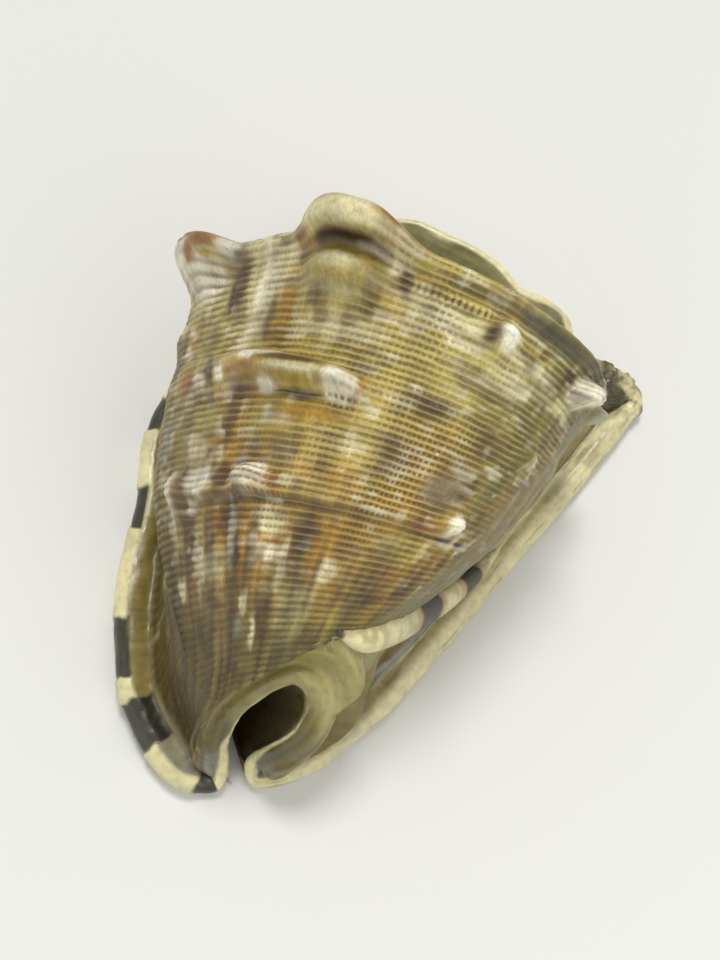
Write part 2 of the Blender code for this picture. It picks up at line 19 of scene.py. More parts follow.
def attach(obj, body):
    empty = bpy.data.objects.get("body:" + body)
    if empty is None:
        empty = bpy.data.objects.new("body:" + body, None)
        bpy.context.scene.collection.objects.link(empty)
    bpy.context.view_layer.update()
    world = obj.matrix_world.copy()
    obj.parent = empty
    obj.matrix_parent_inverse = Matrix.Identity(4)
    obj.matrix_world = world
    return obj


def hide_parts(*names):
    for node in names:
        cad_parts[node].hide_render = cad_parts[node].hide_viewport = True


bl_info = {
    "name": "Helmet Shell",
    "version": (1, 0, 0),
    "blender": (4, 5, 0),
    "location": "View3D > Sidebar > Shell",
    "description": "Surfaces, colours and stage of a large helmet sea snail shell",
    "category": "Object",
}

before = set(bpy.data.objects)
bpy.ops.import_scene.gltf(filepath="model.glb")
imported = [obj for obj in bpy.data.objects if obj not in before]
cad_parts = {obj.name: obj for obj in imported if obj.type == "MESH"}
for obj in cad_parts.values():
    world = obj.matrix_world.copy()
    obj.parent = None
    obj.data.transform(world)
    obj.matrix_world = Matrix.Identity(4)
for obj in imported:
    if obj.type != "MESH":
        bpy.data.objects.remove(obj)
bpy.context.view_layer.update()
MILLIMETRE = 0.001
# From the point under the coiling axis to the middle of the shell's box.
ORIGIN_SHIFT = np.array([0.8, 40.85, 0.0])
# The frame's solid comes off a lattice half a millimetre slimmer than these surfaces, so
# they are drawn in by this share to stay in its box.
FIT = 0.995

# The coiled body: its own unit is the shoulder radius on top of the last whorl.
SHOULDER_RADIUS = 62.0
AXIS_TILT = math.radians(11.6)
AXIS_HEIGHT = 0.72 * SHOULDER_RADIUS
GROWTH_APEX = 0.46
GROWTH_RATE = 0.097
SPIRE_RATE = 0.085
SPIRE_APEX = 0.38
SPIRE_SHOULDER = 0.103
SPIRE_TURNS = 8
BODY_START = -150.0
BODY_END = 100.0
# The hidden underside of the whorls stays this far above the floor.
UNDERSIDE_CLEARANCE = 3.0

# Radius of the shoulder round the last whorl, as shares of the shoulder radius.
ROUND_ANGLE = (-150, -100, -60, -25, 0, 25, 60, 95, 125)
ROUND_RADIUS = (0.80, 0.81, 0.83, 0.92, 1.00, 1.02, 0.98, 1.12, 1.22)

# Profile of the whorl from the suture (first) over the shoulder (0) to the canal.
PROFILE_PLACE = (-0.42, -0.34, -0.20, -0.07, 0, 0.07, 0.35, 0.75, 1.15, 1.55, 1.95)
PROFILE_ALONG = (-0.15, -0.13, -0.085, -0.03, 0, 0.06, 0.35, 0.75, 1.15, 1.55, 1.95)
PROFILE_SHARE = (0.57, 0.66, 0.81, 0.945, 1.0, 0.995, 0.94, 0.85, 0.65, 0.40, 0.28)

# Where the coiled body ends against the canal and the lip, by angle round the axis.
FRONT_ANGLE = (-92, -80, -55, -20, -3, 14, 30, 42, 54, 66, 76, 82)
FRONT_PLACE = (1.28, 1.50, 1.47, 1.44, 1.50, 1.58, 1.63, 1.64, 1.60, 1.53, 1.42, 1.25)

# Stations of the margin, clockwise from the left jaw of the canal. Each one gives the
# centre of the rim (x, y, z), the radius of the rim, the angle and place on the body
# where its sheet starts, the share along the aperture (0 rear, 1 front), the side of
# the aperture (-1 left, 1 right) and how far the sheet folds up beside the canal.
OUTER_MARGIN = (
    (-8.3, -130.7, 2.8, 2.8, 48, 1.62, 1.00, -1, 0),
    (-16.0, -132.2, 3.4, 3.4, 60, 1.57, 0.92, -1, 0),
    (-28.8, -126.1, 4.0, 4.0, 72, 1.48, 0.85, -1, 0),
    (-38.7, -116.8, 4.3, 4.3, 79, 1.36, 0.76, -1, 0),
    (-46.4, -102.7, 5.0, 5.0, 82, 1.22, 0.66, -1, 0),
    (-52.8, -85.5, 5.0, 5.0, 83, 1.08, 0.56, -1, 0),
    (-58.2, -64.1, 4.7, 4.6, 84, 0.90, 0.44, -1, 0),
    (-65.4, -42.7, 4.3, 4.3, 85, 0.64, 0.30, -1, 0),
    (-66.3, -31.8, 4.3, 4.3, 86, 0.50, 0.24, -1, 0),
    (-64.5, -22.5, 4.0, 4.0, 88, 0.34, 0.18, -1, 0),
    (-65.4, -17.4, 4.3, 3.7, 91, 0.18, 0.11, -1, 0),
    (-63.2, 1.2, 6.2, 3.7, 96, 0.02, 0.04, -1, 0),
    (-58.9, 17.4, 9.3, 3.4, 102, -0.14, 0, -0.75, 0),
    (-50.8, 31.0, 13.6, 3.1, 107, -0.28, 0, -0.5, 0),
    (-41.5, 39.1, 18.6, 2.8, -246, -0.20, 0, -0.25, 0),
    (-33.5, 43.4, 22.9, 2.2, -238, -0.26, 0, 0, 0),
    (-19.4, 51.7, 24.8, 2.0, -228, -0.30, 0, 0.2, 0),
    (-6.6, 50.8, 26.0, 2.0, -212, -0.32, 0, 0.45, 0),
    (10.0, 48.4, 26.0, 2.0, -192, -0.33, 0, 0.75, 0),
    (22.2, 43.1, 24.8, 2.1, -178, -0.33, 0.03, 1, 0),
    (30.5, 43.1, 23.6, 2.6, -170, -0.33, 0.06, 1, 0),
    (36.7, 41.7, 21.7, 3.0, -164, -0.32, 0.09, 1, 0),
    (41.0, 37.9, 19.2, 2.8, -156, -0.30, 0.12, 1, 0),
    (45.3, 33.8, 16.1, 1.9, -148, -0.26, 0.14, 1, 0),
    (51.4, 35.7, 14.9, 2.0, -136, -0.18, 0.17, 1, 0),
    (59.5, 37.1, 12.4, 2.2, -124, -0.10, 0.19, 1, 0),
    (68.7, 36.9, 7.4, 2.8, -112, -0.03, 0.21, 1, 0),
    (71.9, 35.0, 3.4, 3.4, -103, 0.08, 0.25, 1, 0),
    (70.2, 28.9, 3.4, 3.4, -98, 0.16, 0.29, 1, 0),
    (60.6, -2.4, 3.1, 3.1, -93, 0.45, 0.40, 1, 0),
    (47.2, -39.6, 3.1, 3.1, -92, 0.80, 0.52, 1, 0),
    (35.8, -71.5, 3.4, 3.4, -92, 1.11, 0.65, 1, 0),
    (25.4, -97.0, 3.4, 3.4, -91, 1.31, 0.78, 1, 0.15),
    (20.4, -105.6, 3.2, 3.2, -90, 1.38, 0.84, 1, 0.35),
    (16.2, -113.1, 3.1, 3.1, -88, 1.43, 0.89, 1, 0.6),
    (5.6, -123.1, 2.8, 2.8, -83, 1.49, 0.96, 1, 0.8),
    (2.6, -124.8, 2.6, 2.6, -80, 1.50, 1.00, 1, 0.9),
)
# The rim of the canal goes on from the right jaw over the top to the left jaw.
CANAL_RIM = (
    (0.9, -124.0, 5.0, 2.5, -76, 1.50, 1.00, 1, 0.9),
    (0.2, -122.7, 8.1, 2.5, -71, 1.50, 0.99, 1, 0.9),
    (1.2, -121.2, 14.9, 2.6, -64, 1.49, 0.95, 1, 0.9),
    (5.9, -117.3, 22.9, 2.6, -55, 1.47, 0.89, 1, 0.9),
    (9.1, -112.3, 31.0, 2.6, -44, 1.45, 0.83, 1, 0.9),
    (9.5, -106.9, 36.0, 2.8, -32, 1.44, 0.80, 0.9, 0.8),
    (6.2, -101.9, 39.1, 2.8, -20, 1.44, 0.785, 0.5, 0.5),
    (0.8, -101.4, 40.3, 2.5, -11, 1.46, 0.78, 0, 0.2),
    (-3.0, -104.4, 39.7, 2.2, -3, 1.50, 0.785, -0.6, 0),
    (-6.3, -108.4, 36.6, 2.2, 6, 1.54, 0.82, -1, 0),
    (-9.5, -112.8, 31.0, 2.2, 14, 1.58, 0.87, -1, 0),
    (-11.1, -117.1, 23.6, 2.4, 22, 1.61, 0.92, -1, 0),
    (-10.8, -121.7, 15.5, 2.5, 30, 1.63, 0.97, -1, 0),
    (-8.9, -125.6, 8.7, 2.6, 37, 1.64, 1.00, -1, 0),
)
# The sheet: how high it folds up beside the canal, and how far under the surface of the
# whorl it starts.
FOLD_HEIGHT = 4.0
SHEET_SINK = 0.6
# The round of the rim: the angles between which it turns, seen along it from level. A
# rim this high above the floor turns less, and its underside runs on level at its end.
ROLL_START = math.radians(125)
OUTER_ROLL_END = math.radians(-90)
RAISED_ROLL_END = math.radians(-20)
RAISED_RIM = 15.0
RAISED_RUN = 25.0

# The aperture: middle line and half width of the narrow slot, rear to front, and how
# deep the vault above it goes.
SLOT_LINE = ((-44, 22), (-45, -2), (-44, -25), (-40, -50), (-33.5, -78), (-24, -101),
             (-12, -117), (-3.6, -126.0))
SLOT_HALF_WIDTH = (2.5, 4.0, 5.0, 5.0, 4.6, 4.0, 3.0, 2.4)
SLOT_DEPTH = 17.0
# Over the slot the hidden underside of the whorls stays higher by this.
SLOT_COVER = 22.0

# The old varix: x, y, z and radius along the bead beside the shield, and how much
# broader than high its section is.
VARIX_BREADTH = 1.35
VARIX = ((6, -90, 53.0, 0.6), (13, -88.5, 49.0, 2.4), (18.6, -82, 42.6, 3.4),
         (24.4, -73, 32.5, 3.9), (30.4, -63.5, 23.4, 4.0), (36.2, -53, 15.4, 3.5),
         (41.5, -41.5, 8.6, 2.2), (45.5, -30, 5.0, 0.6))
# Its dark bars, and the rusty stains round them, as stretches of its length from 0 to 1.
VARIX_BARS = ((0.41, 0.43, 0.52, 0.54), (0.67, 0.69, 0.78, 0.80))
VARIX_STAINS = ((0.36, 0.41, 0.54, 0.58), (0.62, 0.67, 0.80, 0.84))
CANAL_FLOOR = 1.5
# Steps of the margin's grid: round the loop, then over the back, round the rim, under
# it and up the wall of the aperture.
LOOP_STEPS = 1300
BACK_STEPS, ROLL_STEPS, UNDER_STEPS, WALL_STEPS = 30, 20, 18, 8
# Panels of the last whorl: name, first and last angle, columns and rows of the grid.
PANELS = (
    ("whorl_right", -150, -62, 150, 440),
    ("whorl_middle", -62, 10, 190, 520),
    ("whorl_left", 10, 90, 190, 520),
    ("whorl_inner", 90, 210, 110, 260),
)
SPIRE_STEPS, SPIRE_ROWS = 1100, 60
SPIRE_KNOBS = 10
SPIRE_KNOB_HEIGHT = 3.0
VARIX_STEPS, VARIX_SIDES = 220, 40

# Stretches of the rim's loop in millimetres: where something starts, is full, begins to
# fall and has gone again.
TEETH = (30, 45, 180, 190)
FOLDS = (345, 360, 495, 505)
LIP_STRIP = (30, 45, 130, 140)
REAR_SHEET = (165, 195, 308, 318)
BROKEN_CORNER = (312, 318, 336, 346)
FILLED_BACK = (340, 350, 460, 480)
CREASE = (338, 346, 425, 445)
JOINT = (335, 350, 580, 600)
BLOTCHES = (350, 370, 480, 500)
CANAL_WALL = (512, 518, 612, 616)
# Relief of the margin in millimetres.
TOOTH_PITCH, FOLD_PITCH = 10.5, 7.5
TOOTH_DEPTH, UNDER_HOLLOW = 1.6, 0.8
SHIELD_FILL = 1.8
# The third is the width of the painted shade along the crease.
CREASE_DEPTH, CREASE_WIDTH, CREASE_SHADE_WIDTH = 0.7, 0.7, 0.6
REAR_LINE_PITCH, REAR_LINE_HEIGHT = 0.9, 0.5
BREAK_DEPTH, LUMP_HEIGHT = 1.6, 0.5
# Millimetres of the lip's sheet that count as one degree of the whorl, and the width up
# to which they count.
RIB_SPREAD, WIDEST_SHEET = 1.08, 60
# Patches narrower than this keep straight edges along the cords, and the share by which
# every patch covers more than its row says.
FINE_PATCH = 0.031
PATCH_GAIN = 1.3

# Spiral cords and growth threads: the step from one to the next, as a share of the
# shoulder radius (1.65 mm) and in degrees (1.7 mm on top).
CORD_PITCH = 0.0266
THREAD_PITCH = 1.6

# Knobs: angle, place, half widths (degrees, place), height, lean to the spire, bluntness.
KNOBS = (
    (79, 0.04, 14, 0.105, 8.6, 0.30, 2.0),
    (-15, 0.17, 4.5, 0.045, 4.5, 0.1, 1.0),
    (-56, 0.155, 6.5, 0.065, 6.5, 0.1, 1.6),
    (-98, 0.06, 8, 0.070, 6.5, 0.2, 1.4),
    (-128, 0.04, 8, 0.070, 5.0, 0.2, 1.0),
    (93, 0.30, 6, 0.040, 1.5, 0.1, 1.0),
    (15, 0.545, 5, 0.040, 3.0, 0.0, 1.5),
    (24, 0.165, 9, 0.050, 2.4, 0.0, 1.6),
    (-43, 0.54, 5, 0.040, 3.0, 0.1, 1.0),
    (34.5, 0.915, 5, 0.055, 4.0, 0.1, 1.5),
    (70, 0.94, 5, 0.080, 3.2, 0.0, 1.3),
    (-30, 0.92, 4, 0.045, 4.0, 0.1, 1.0),
    (-5, 0.93, 4, 0.040, 1.0, 0.0, 1.0),
)
# Spiral ridges that the knobs stand on: place, half width, height.
RIDGES = ((0.02, 0.05, 2.2), (0.50, 0.06, 0.6), (0.92, 0.05, 0.8))
# The second ridge has a sharp step on its spire side: angle, place of the step, height.
STEP_ANGLE = (6, 10, 14, 20, 30, 40, 50, 60, 75, 84)
STEP_PLACE = (0.495, 0.49, 0.49, 0.485, 0.475, 0.465, 0.455, 0.445, 0.43, 0.425)
STEP_HEIGHT = (0, 0.9, 4.0, 5.8, 6.0, 5.4, 3.8, 2.4, 1.2, 0)
# It falls off again over this span of places, from steep on the right to gentle.
STEP_FALL_START = (0.05, 0.05, 0.055, 0.055, 0.06, 0.05, 0.03, 0.02, 0.01, 0.01)
STEP_FALL_END = (0.12, 0.11, 0.10, 0.10, 0.11, 0.14, 0.17, 0.18, 0.18, 0.18)
# The horn: place, height, half width in degrees and lean of its sections. Its cap hangs
# over the hollow of its face like a brow.
HORN_ANGLE = 23.5
HORN_PLACE = (-0.30, -0.20, -0.12, -0.05, 0.00, 0.040, 0.062, 0.085, 0.13, 0.19, 0.25, 0.31)
HORN_HEIGHT = (0, 4.0, 9.0, 11.6, 12.2, 11.4, 8.6, 5.4, 5.0, 4.2, 1.8, 0)
HORN_WIDTH = (7, 8.5, 10, 11, 11.5, 11.5, 11, 10.5, 10, 9, 8, 7.5)
HORN_LEAN = (0, 0.25, 0.3, 0.3, 0.25, 0.0, 0.1, 0.3, 0.1, 0, 0, 0)
HORN_BLUNTNESS = 1.6
# The third ridge has its sharp step on the canal side.
LOW_STEP_ANGLE = (-40, -25, -6, 0, 30, 60, 78)
LOW_STEP_HEIGHT = (0, 0.9, 0.3, 0.7, 2.0, 1.4, 0)
LOW_STEP_PLACE, LOW_STEP_FOOT = 0.962, 0.055

# Where the smooth callus lies over the ribs on the right: place and angle of its edge.
CALLUS_PLACE = (-0.4, -0.10, 0, 0.29, 0.57, 0.66, 0.73, 0.80, 0.88, 1.00, 1.10, 1.29, 1.46, 1.7)
CALLUS_ANGLE = (-95, -88, -79, -63, -54, -49, -46, -46, -46, -46, -45, -38, -24, 0)

# Ground colour of the body: angles across, places down, one palette name for each.
GROUND_ANGLE = (-150, -60, -38, -12, 12, 45, 75, 100)
GROUND_PLACE = (-0.3, 0.0, 0.35, 0.75, 1.15, 1.45, 1.75)
GROUND = (
    ("olive", "olive", "olive", "gold", "gold", "cream", "cream", "cream"),
    ("olive", "moss", "moss", "straw", "straw", "cream", "bone", "cream"),
    ("moss", "moss", "moss", "sand", "straw", "straw", "sand", "dust"),
    ("moss", "ochre", "moss", "gold", "straw", "ochre", "dust", "dust"),
    ("dust", "olive", "gold", "gold", "gold", "ochre", "dust", "olive"),
    ("dust", "olive", "olive", "dust", "olive", "dust", "olive", "olive"),
    ("dust", "olive", "lichen", "lichen", "lichen", "olive", "olive", "olive"),
)
# Patches on it, laid in this order: angle, half width, place, half width, colour, cover.
PATCHES = (
    (86, 15, -0.02, 0.075, "rust", 0.85), (84, 8, 0.0, 0.03, "straw", 0.6),
    (80, 8, 0.045, 0.018, "chalk", 0.9), (75, 9, 0.14, 0.065, "chalk", 0.85),
    (64, 4, 0.02, 0.03, "chalk", 0.9), (62, 2.5, 0.065, 0.02, "slate", 0.7),
    (59, 3.6, 0.17, 0.14, "brown", 0.85), (60, 2.4, 0.215, 0.05, "umber", 0.7),
    (49, 7, 0.26, 0.19, "bone", 0.85), (47, 4, 0.20, 0.10, "chalk", 0.5),
    (41.5, 3, 0.33, 0.09, "brown", 0.6), (37, 2.6, 0.30, 0.17, "ochre", 0.85),
    (62, 8, 0.37, 0.05, "straw", 0.5), (78, 7, 0.33, 0.08, "ochre", 0.5),
    (68, 5, 0.36, 0.05, "brown", 0.5), (86, 5, 0.40, 0.10, "brown", 0.6),
    (24, 14, -0.06, 0.085, "cream", 0.9), (30, 5, -0.03, 0.05, "mauve", 0.5),
    (15, 4, -0.01, 0.06, "rust", 0.6), (35, 2.2, 0.02, 0.06, "rust", 0.8),
    # On the horn, the brown and umber bands just under the brow are painted shadow under its cap.
    (24, 10, 0.030, 0.028, "cream", 0.8), (23, 10, 0.090, 0.032, "brown", 0.95),
    (24, 8.5, 0.082, 0.020, "umber", 0.9), (34, 2.5, 0.10, 0.05, "ochre", 0.9),
    (23, 9.5, 0.170, 0.065, "straw", 1.0), (24, 7, 0.135, 0.030, "ochre", 0.8),
    (25, 7, 0.215, 0.030, "cream", 0.7), (12, 1.6, 0.10, 0.035, "cream", 0.7),
    (9.5, 1.6, 0.135, 0.06, "umber", 0.8),
    (29.5, 2.2, 0.24, 0.035, "mauve", 0.7), (16, 5, 0.26, 0.03, "brown", 0.4),
    (22, 10, 0.33, 0.05, "chalk", 0.35), (24, 12, 0.42, 0.035, "straw", 0.5),
    (73, 3.2, 0.515, 0.045, "rust", 0.8), (66, 3.6, 0.53, 0.035, "chalk", 0.9),
    (59.5, 2.6, 0.50, 0.05, "brown", 0.85), (53.5, 2.6, 0.53, 0.03, "chalk", 0.8),
    (44, 6, 0.53, 0.03, "ochre", 0.85), (46, 4.2, 0.59, 0.035, "brown", 0.8),
    (37, 9, 0.485, 0.013, "cream", 0.8), (26, 13, 0.525, 0.026, "ochre", 0.8),
    (29, 1.4, 0.52, 0.03, "brown", 0.7), (22, 1.2, 0.53, 0.03, "cream", 0.7),
    (15, 3.4, 0.56, 0.045, "chalk", 0.95), (11, 1.1, 0.56, 0.06, "rust", 0.8),
    # The umber line under the second ridge is painted shadow beneath it.
    (25, 6.5, 0.596, 0.020, "umber", 1.0), (35, 3.2, 0.58, 0.025, "chalk", 0.8),
    (21, 10, 0.65, 0.04, "gold", 0.8), (47.5, 3.4, 0.70, 0.10, "brown", 0.8),
    (60, 9, 0.68, 0.06, "sand", 0.6), (81.5, 3.6, 0.725, 0.08, "slate", 0.6),
    (36, 6, 0.70, 0.06, "straw", 0.6), (61, 6, 0.785, 0.04, "cream", 0.7),
    (72, 4.2, 0.94, 0.065, "chalk", 0.9), (65, 1.6, 0.89, 0.065, "umber", 0.8),
    (57, 7.5, 0.905, 0.055, "chalk", 0.95), (46, 4.5, 0.90, 0.05, "brown", 0.95),
    (34.5, 4.8, 0.905, 0.055, "chalk", 1.0), (38.5, 1.8, 0.85, 0.02, "slate", 0.7),
    (27, 3, 0.915, 0.04, "rust", 0.8), (26, 4.5, 0.80, 0.05, "mauve", 0.7),
    (12, 8, 0.86, 0.05, "ochre", 0.6), (30, 33, 0.972, 0.010, "umber", 0.85),
    (65, 4.2, 1.09, 0.13, "brown", 0.8), (55, 5, 1.10, 0.10, "straw", 0.8),
    (44, 5, 1.04, 0.065, "brown", 0.85), (49, 7, 1.195, 0.065, "bone", 0.8),
    (34.5, 3.6, 1.065, 0.07, "ochre", 0.85), (37.5, 1.7, 1.15, 0.06, "brown", 0.8),
    (25.5, 4.5, 1.05, 0.05, "cream", 0.8), (25, 5, 1.155, 0.03, "chalk", 0.75),
    (15, 5, 1.09, 0.12, "brown", 0.8), (5, 5, 1.05, 0.06, "ochre", 0.7),
    (65.5, 3.6, 1.245, 0.03, "rust", 0.8), (72, 2.4, 1.25, 0.035, "chalk", 0.7),
    (64, 6.5, 1.40, 0.10, "olive", 0.6), (47, 8, 1.40, 0.10, "mauve", 0.6),
    (36, 4, 1.415, 0.04, "slate", 0.6), (33, 1.8, 1.33, 0.045, "chalk", 0.8),
    (28, 1.8, 1.44, 0.06, "chalk", 0.7), (24.5, 3.4, 1.38, 0.10, "brown", 0.7),
    (12, 8, 1.37, 0.12, "cream", 0.6), (4, 3, 1.20, 0.05, "chalk", 0.5),
    (0, 9, 0.19, 0.05, "cream", 0.7), (-6, 15, 0.092, 0.012, "gold", 0.8),
    (-11.5, 2.4, 0.19, 0.035, "umber", 0.75), (-13, 5, 0.36, 0.06, "brown", 0.6),
    (-8, 6, 0.505, 0.04, "mauve", 0.8), (-6, 3, 0.51, 0.03, "umber", 0.5),
    (-16, 3.2, 0.17, 0.035, "chalk", 0.95), (-20.5, 3, 0.24, 0.045, "gold", 0.7),
    (-29, 4.2, 0.16, 0.03, "straw", 0.6), (-43, 3.2, 0.15, 0.040, "umber", 0.8),
    (-39, 5, 0.22, 0.02, "brown", 0.7), (-43, 13, 0.28, 0.035, "cream", 0.6),
    (-35, 10, 0.39, 0.09, "moss", 0.6), (-49, 4.5, 0.395, 0.075, "brown", 0.4),
    (-57, 5, 0.15, 0.045, "chalk", 1.0), (-47.5, 4.5, 0.54, 0.032, "cream", 0.9),
    (-43.5, 2.8, 0.485, 0.012, "umber", 0.8), (-27, 6, 0.56, 0.08, "brown", 0.5),
    (-53, 5, 0.64, 0.06, "dust", 0.7), (-47, 5, 0.75, 0.05, "ochre", 0.7),
    (-20, 8.5, 0.81, 0.09, "mauve", 0.75), (-27, 3, 0.76, 0.06, "brown", 0.6),
    (-4, 7, 0.72, 0.06, "mauve", 0.5), (-20, 4.2, 0.95, 0.03, "rust", 0.8),
    (-29.5, 3.4, 0.925, 0.045, "chalk", 0.95), (-33, 12, 0.988, 0.011, "umber", 0.8),
    (-4, 6, 1.05, 0.07, "gold", 0.7), (-19, 9, 1.06, 0.06, "straw", 0.7),
    (-17, 1.6, 1.165, 0.02, "rust", 0.9), (-40, 4.2, 1.09, 0.045, "brown", 0.7),
    (-37, 8, 1.185, 0.065, "olive", 0.6), (-30, 3, 1.25, 0.03, "brown", 0.7),
    (-24, 6, 1.29, 0.04, "gold", 0.6), (-12, 13, 1.375, 0.05, "straw", 0.6),
    (-19.5, 2.6, 1.455, 0.017, "umber", 0.8), (-13.5, 0.5, 0.675, 0.007, "chalk", 1.0),
    (-75, 14, 0.02, 0.05, "cream", 0.6), (-98, 5.5, 0.05, 0.05, "chalk", 1.0),
    (-105, 12, 0.05, 0.08, "rust", 0.5),
    (-125, 9, 0.30, 0.15, "brown", 0.4), (-95, 9, 0.35, 0.12, "brown", 0.35),
    (-115, 10, -0.2, 0.08, "brown", 0.5), (-45, 12, -0.18, 0.10, "cream", 0.5),
    (-10, 10, -0.22, 0.12, "brown", 0.4), (55, 12, -0.15, 0.08, "brown", 0.5),
    (20, 10, -0.25, 0.10, "cream", 0.5),
    (-27, 17, 0.062, 0.050, "moor", 0.95), (-55, 14, 0.050, 0.060, "moor", 0.9),
    (-4, 9, 0.070, 0.030, "olive", 0.9), (-26, 17, 0.112, 0.009, "cream", 0.7),
    (27, 9, 0.503, 0.012, "brown", 0.8), (26, 9, 0.532, 0.016, "cream", 0.95),
    (40, 3.2, 0.490, 0.022, "chalk", 0.8), (23, 9, 0.165, 0.055, "straw", 0.9),
    # The cream spot in the middle of the horn's face is a painted highlight.
    (24, 5, 0.150, 0.030, "cream", 0.7), (15, 3.4, 0.555, 0.045, "chalk", 1.0),
    (-27, 12, 0.215, 0.030, "cream", 0.8), (-24, 9, 0.30, 0.05, "cream", 0.6),
    (-51.5, 5.5, 0.175, 0.065, "chalk", 1.0), (74, 12, 0.0, 0.024, "rust", 0.9),
    (71, 5.5, 0.042, 0.032, "rust", 1.0), (76.5, 3.6, 0.085, 0.035, "rust", 0.9),
    (64.5, 2.6, 0.040, 0.040, "chalk", 1.0), (83.5, 4, 0.085, 0.045, "chalk", 1.0),
    (70, 2.6, 0.085, 0.014, "straw", 0.8), (78, 7, 0.140, 0.028, "chalk", 0.9),
    (-16.5, 3.8, 0.185, 0.042, "chalk", 1.0), (-98, 7, 0.06, 0.06, "chalk", 1.0),
    (57, 6, 0.91, 0.045, "chalk", 0.9),
    (34.5, 5, 0.905, 0.055, "chalk", 1.0), (46, 3.5, 0.90, 0.05, "brown", 0.9),
    (53, 3, 1.10, 0.14, "brown", 0.6), (40.5, 2, 1.10, 0.12, "chalk", 0.6),
    (30, 2.2, 1.12, 0.12, "umber", 0.55), (19.5, 1.8, 1.20, 0.10, "chalk", 0.5),
    (10, 2.6, 1.16, 0.10, "ochre", 0.8), (60, 2.4, 1.18, 0.12, "chalk", 0.5),
)
# Where the grooves are strong, with their painted shade and bump, by angle: broken into dots in the
# middle.
GROOVE_ANGLE = (-150, -60, -45, -20, 10, 35, 100)
GROOVE_STRENGTH = (0.5, 0.5, 0.55, 1.0, 1.15, 0.9, 0.8)
# Areas worn smooth: angle, half width, place, half width; and the most that wears away.
WORN = (
    (24, 11, 0.15, 0.085), (76, 14, 0.02, 0.10), (-16.5, 4.5, 0.18, 0.05),
    (-30, 22, 0.04, 0.055), (80, 12, 0.03, 0.09), (-20, 8, 0.80, 0.06), (20, 10, 0.66, 0.03),
)
MOST_WEAR = 0.92
# Where the threads cross the grooves as pale stitches and the crests carry a painted highlight, by
# angle.
WEAVE_ANGLE = (-150, -45, -20, 12, 40, 100)
WEAVE_STRENGTH = (0.3, 0.5, 1.0, 1.0, 0.45, 0.2)
# Shares of light taken away beside the lip and (red, green, blue) near the canal, and
# how much of the callus tint shows over the ribs.
LIP_SHADE = 0.08
FRONT_SHADE = np.array([0.30, 0.32, 0.50])
CALLUS_COVER = 0.62
# The row of short dark dashes beside the callus behind the shoulder: angles and place.
DASHES = (8.5, -10.0, 0.132, 0.019)

# Bars of the rim: start and end along it, how far they reach over the back, colour.
BARS = (
    (-3, 5, 9, "ink"), (20, 34, 11, "ink"), (40, 57, 6, "ink"), (84, 97, 5, "ink"),
    (116, 127, 5.5, "ink"), (138, 142, 6, "rust"), (151, 163, 5, "ink"),
    (178, 189, 5, "ink"), (204, 213, 4, "umber"),
)
# Colours of the margin: place along it, then the rim, the strip behind it and the sheet.
MARGIN = (
    (0, "cream", "slate", "olive"), (36, "cream", "dust", "olive"),
    (110, "cream", "dust", "olive"), (135, "cream", "sand", "dust"),
    (170, "cream", "sand", "dust"), (215, "cream", "sand", "olive"),
    (232, "cream", "loam", "moor"), (298, "cream", "loam", "moor"),
    (306, "cream", "sand", "moor"), (316, "moor", "moor", "moor"),
    (330, "cream", "moor", "moor"), (342, "cream", "dust", "slate"),
    (380, "cream", "dust", "slate"), (430, "cream", "slate", "slate"),
    (455, "cream", "slate", "dust"), (485, "cream", "slate", "olive"),
    (505, "cream", "slate", "dust"), (530, "cream", "moor", "olive"),
    (548, "cream", "olive", "lichen"), (565, "sand", "lichen", "sand"),
    (600, "cream", "olive", "dust"),
)
# How far the rim tint reaches over the back: place along the loop, millimetres across.
RIM_REACH = ((0, 5.5), (140, 5), (228, 2.2), (300, 2.6), (308, 5), (330, 6), (342, 9),
             (380, 12), (430, 12), (470, 10), (505, 4), (530, -0.5), (548, -1.2), (575, -1.2),
             (600, 0.2), (611, 2.0), (618, 5.5))

# Lamps: name, kind, place (m), size (m, or degrees for a sun), power.
LAMPS = (
    ("key", "SUN", (-0.22, 0.42, 0.90), 18.0, 1.85),
    ("fill", "AREA", (0.90, -0.40, 0.80), 1.0, 4.6),
    ("front", "AREA", (-0.50, -0.90, 0.50), 1.0, 2.0),
)
# The camera that sees what the photograph shows: its place in millimetres and its axes.
CAMERA_PLACE = (-3.1, -158.155, 314.671)
CAMERA_RIGHT = (0.92321022, 0.35504258, 0.14706345)
CAMERA_UP = (-0.38429532, 0.85293502, 0.35329725)
CAMERA_AHEAD = (0.0, 0.38268343, -0.92387953)
CAMERA_LENS = 40.3125
SENSOR_WIDTH = 36.0
# Half the side of the floor in metres, and the soft light from all round.
FLOOR_HALF = 12.0
SKY_COLOUR, SKY_STRENGTH = (1.0, 0.99, 0.96, 1), 0.56
# Optical density of aragonite, and the tints of the painted highlight on its crests and the painted
# shade in its grooves.
SHELL_IOR = 1.53
CREST_HIGHLIGHT, GROOVE_SHADE = "#cfc27f", "#4e3412"


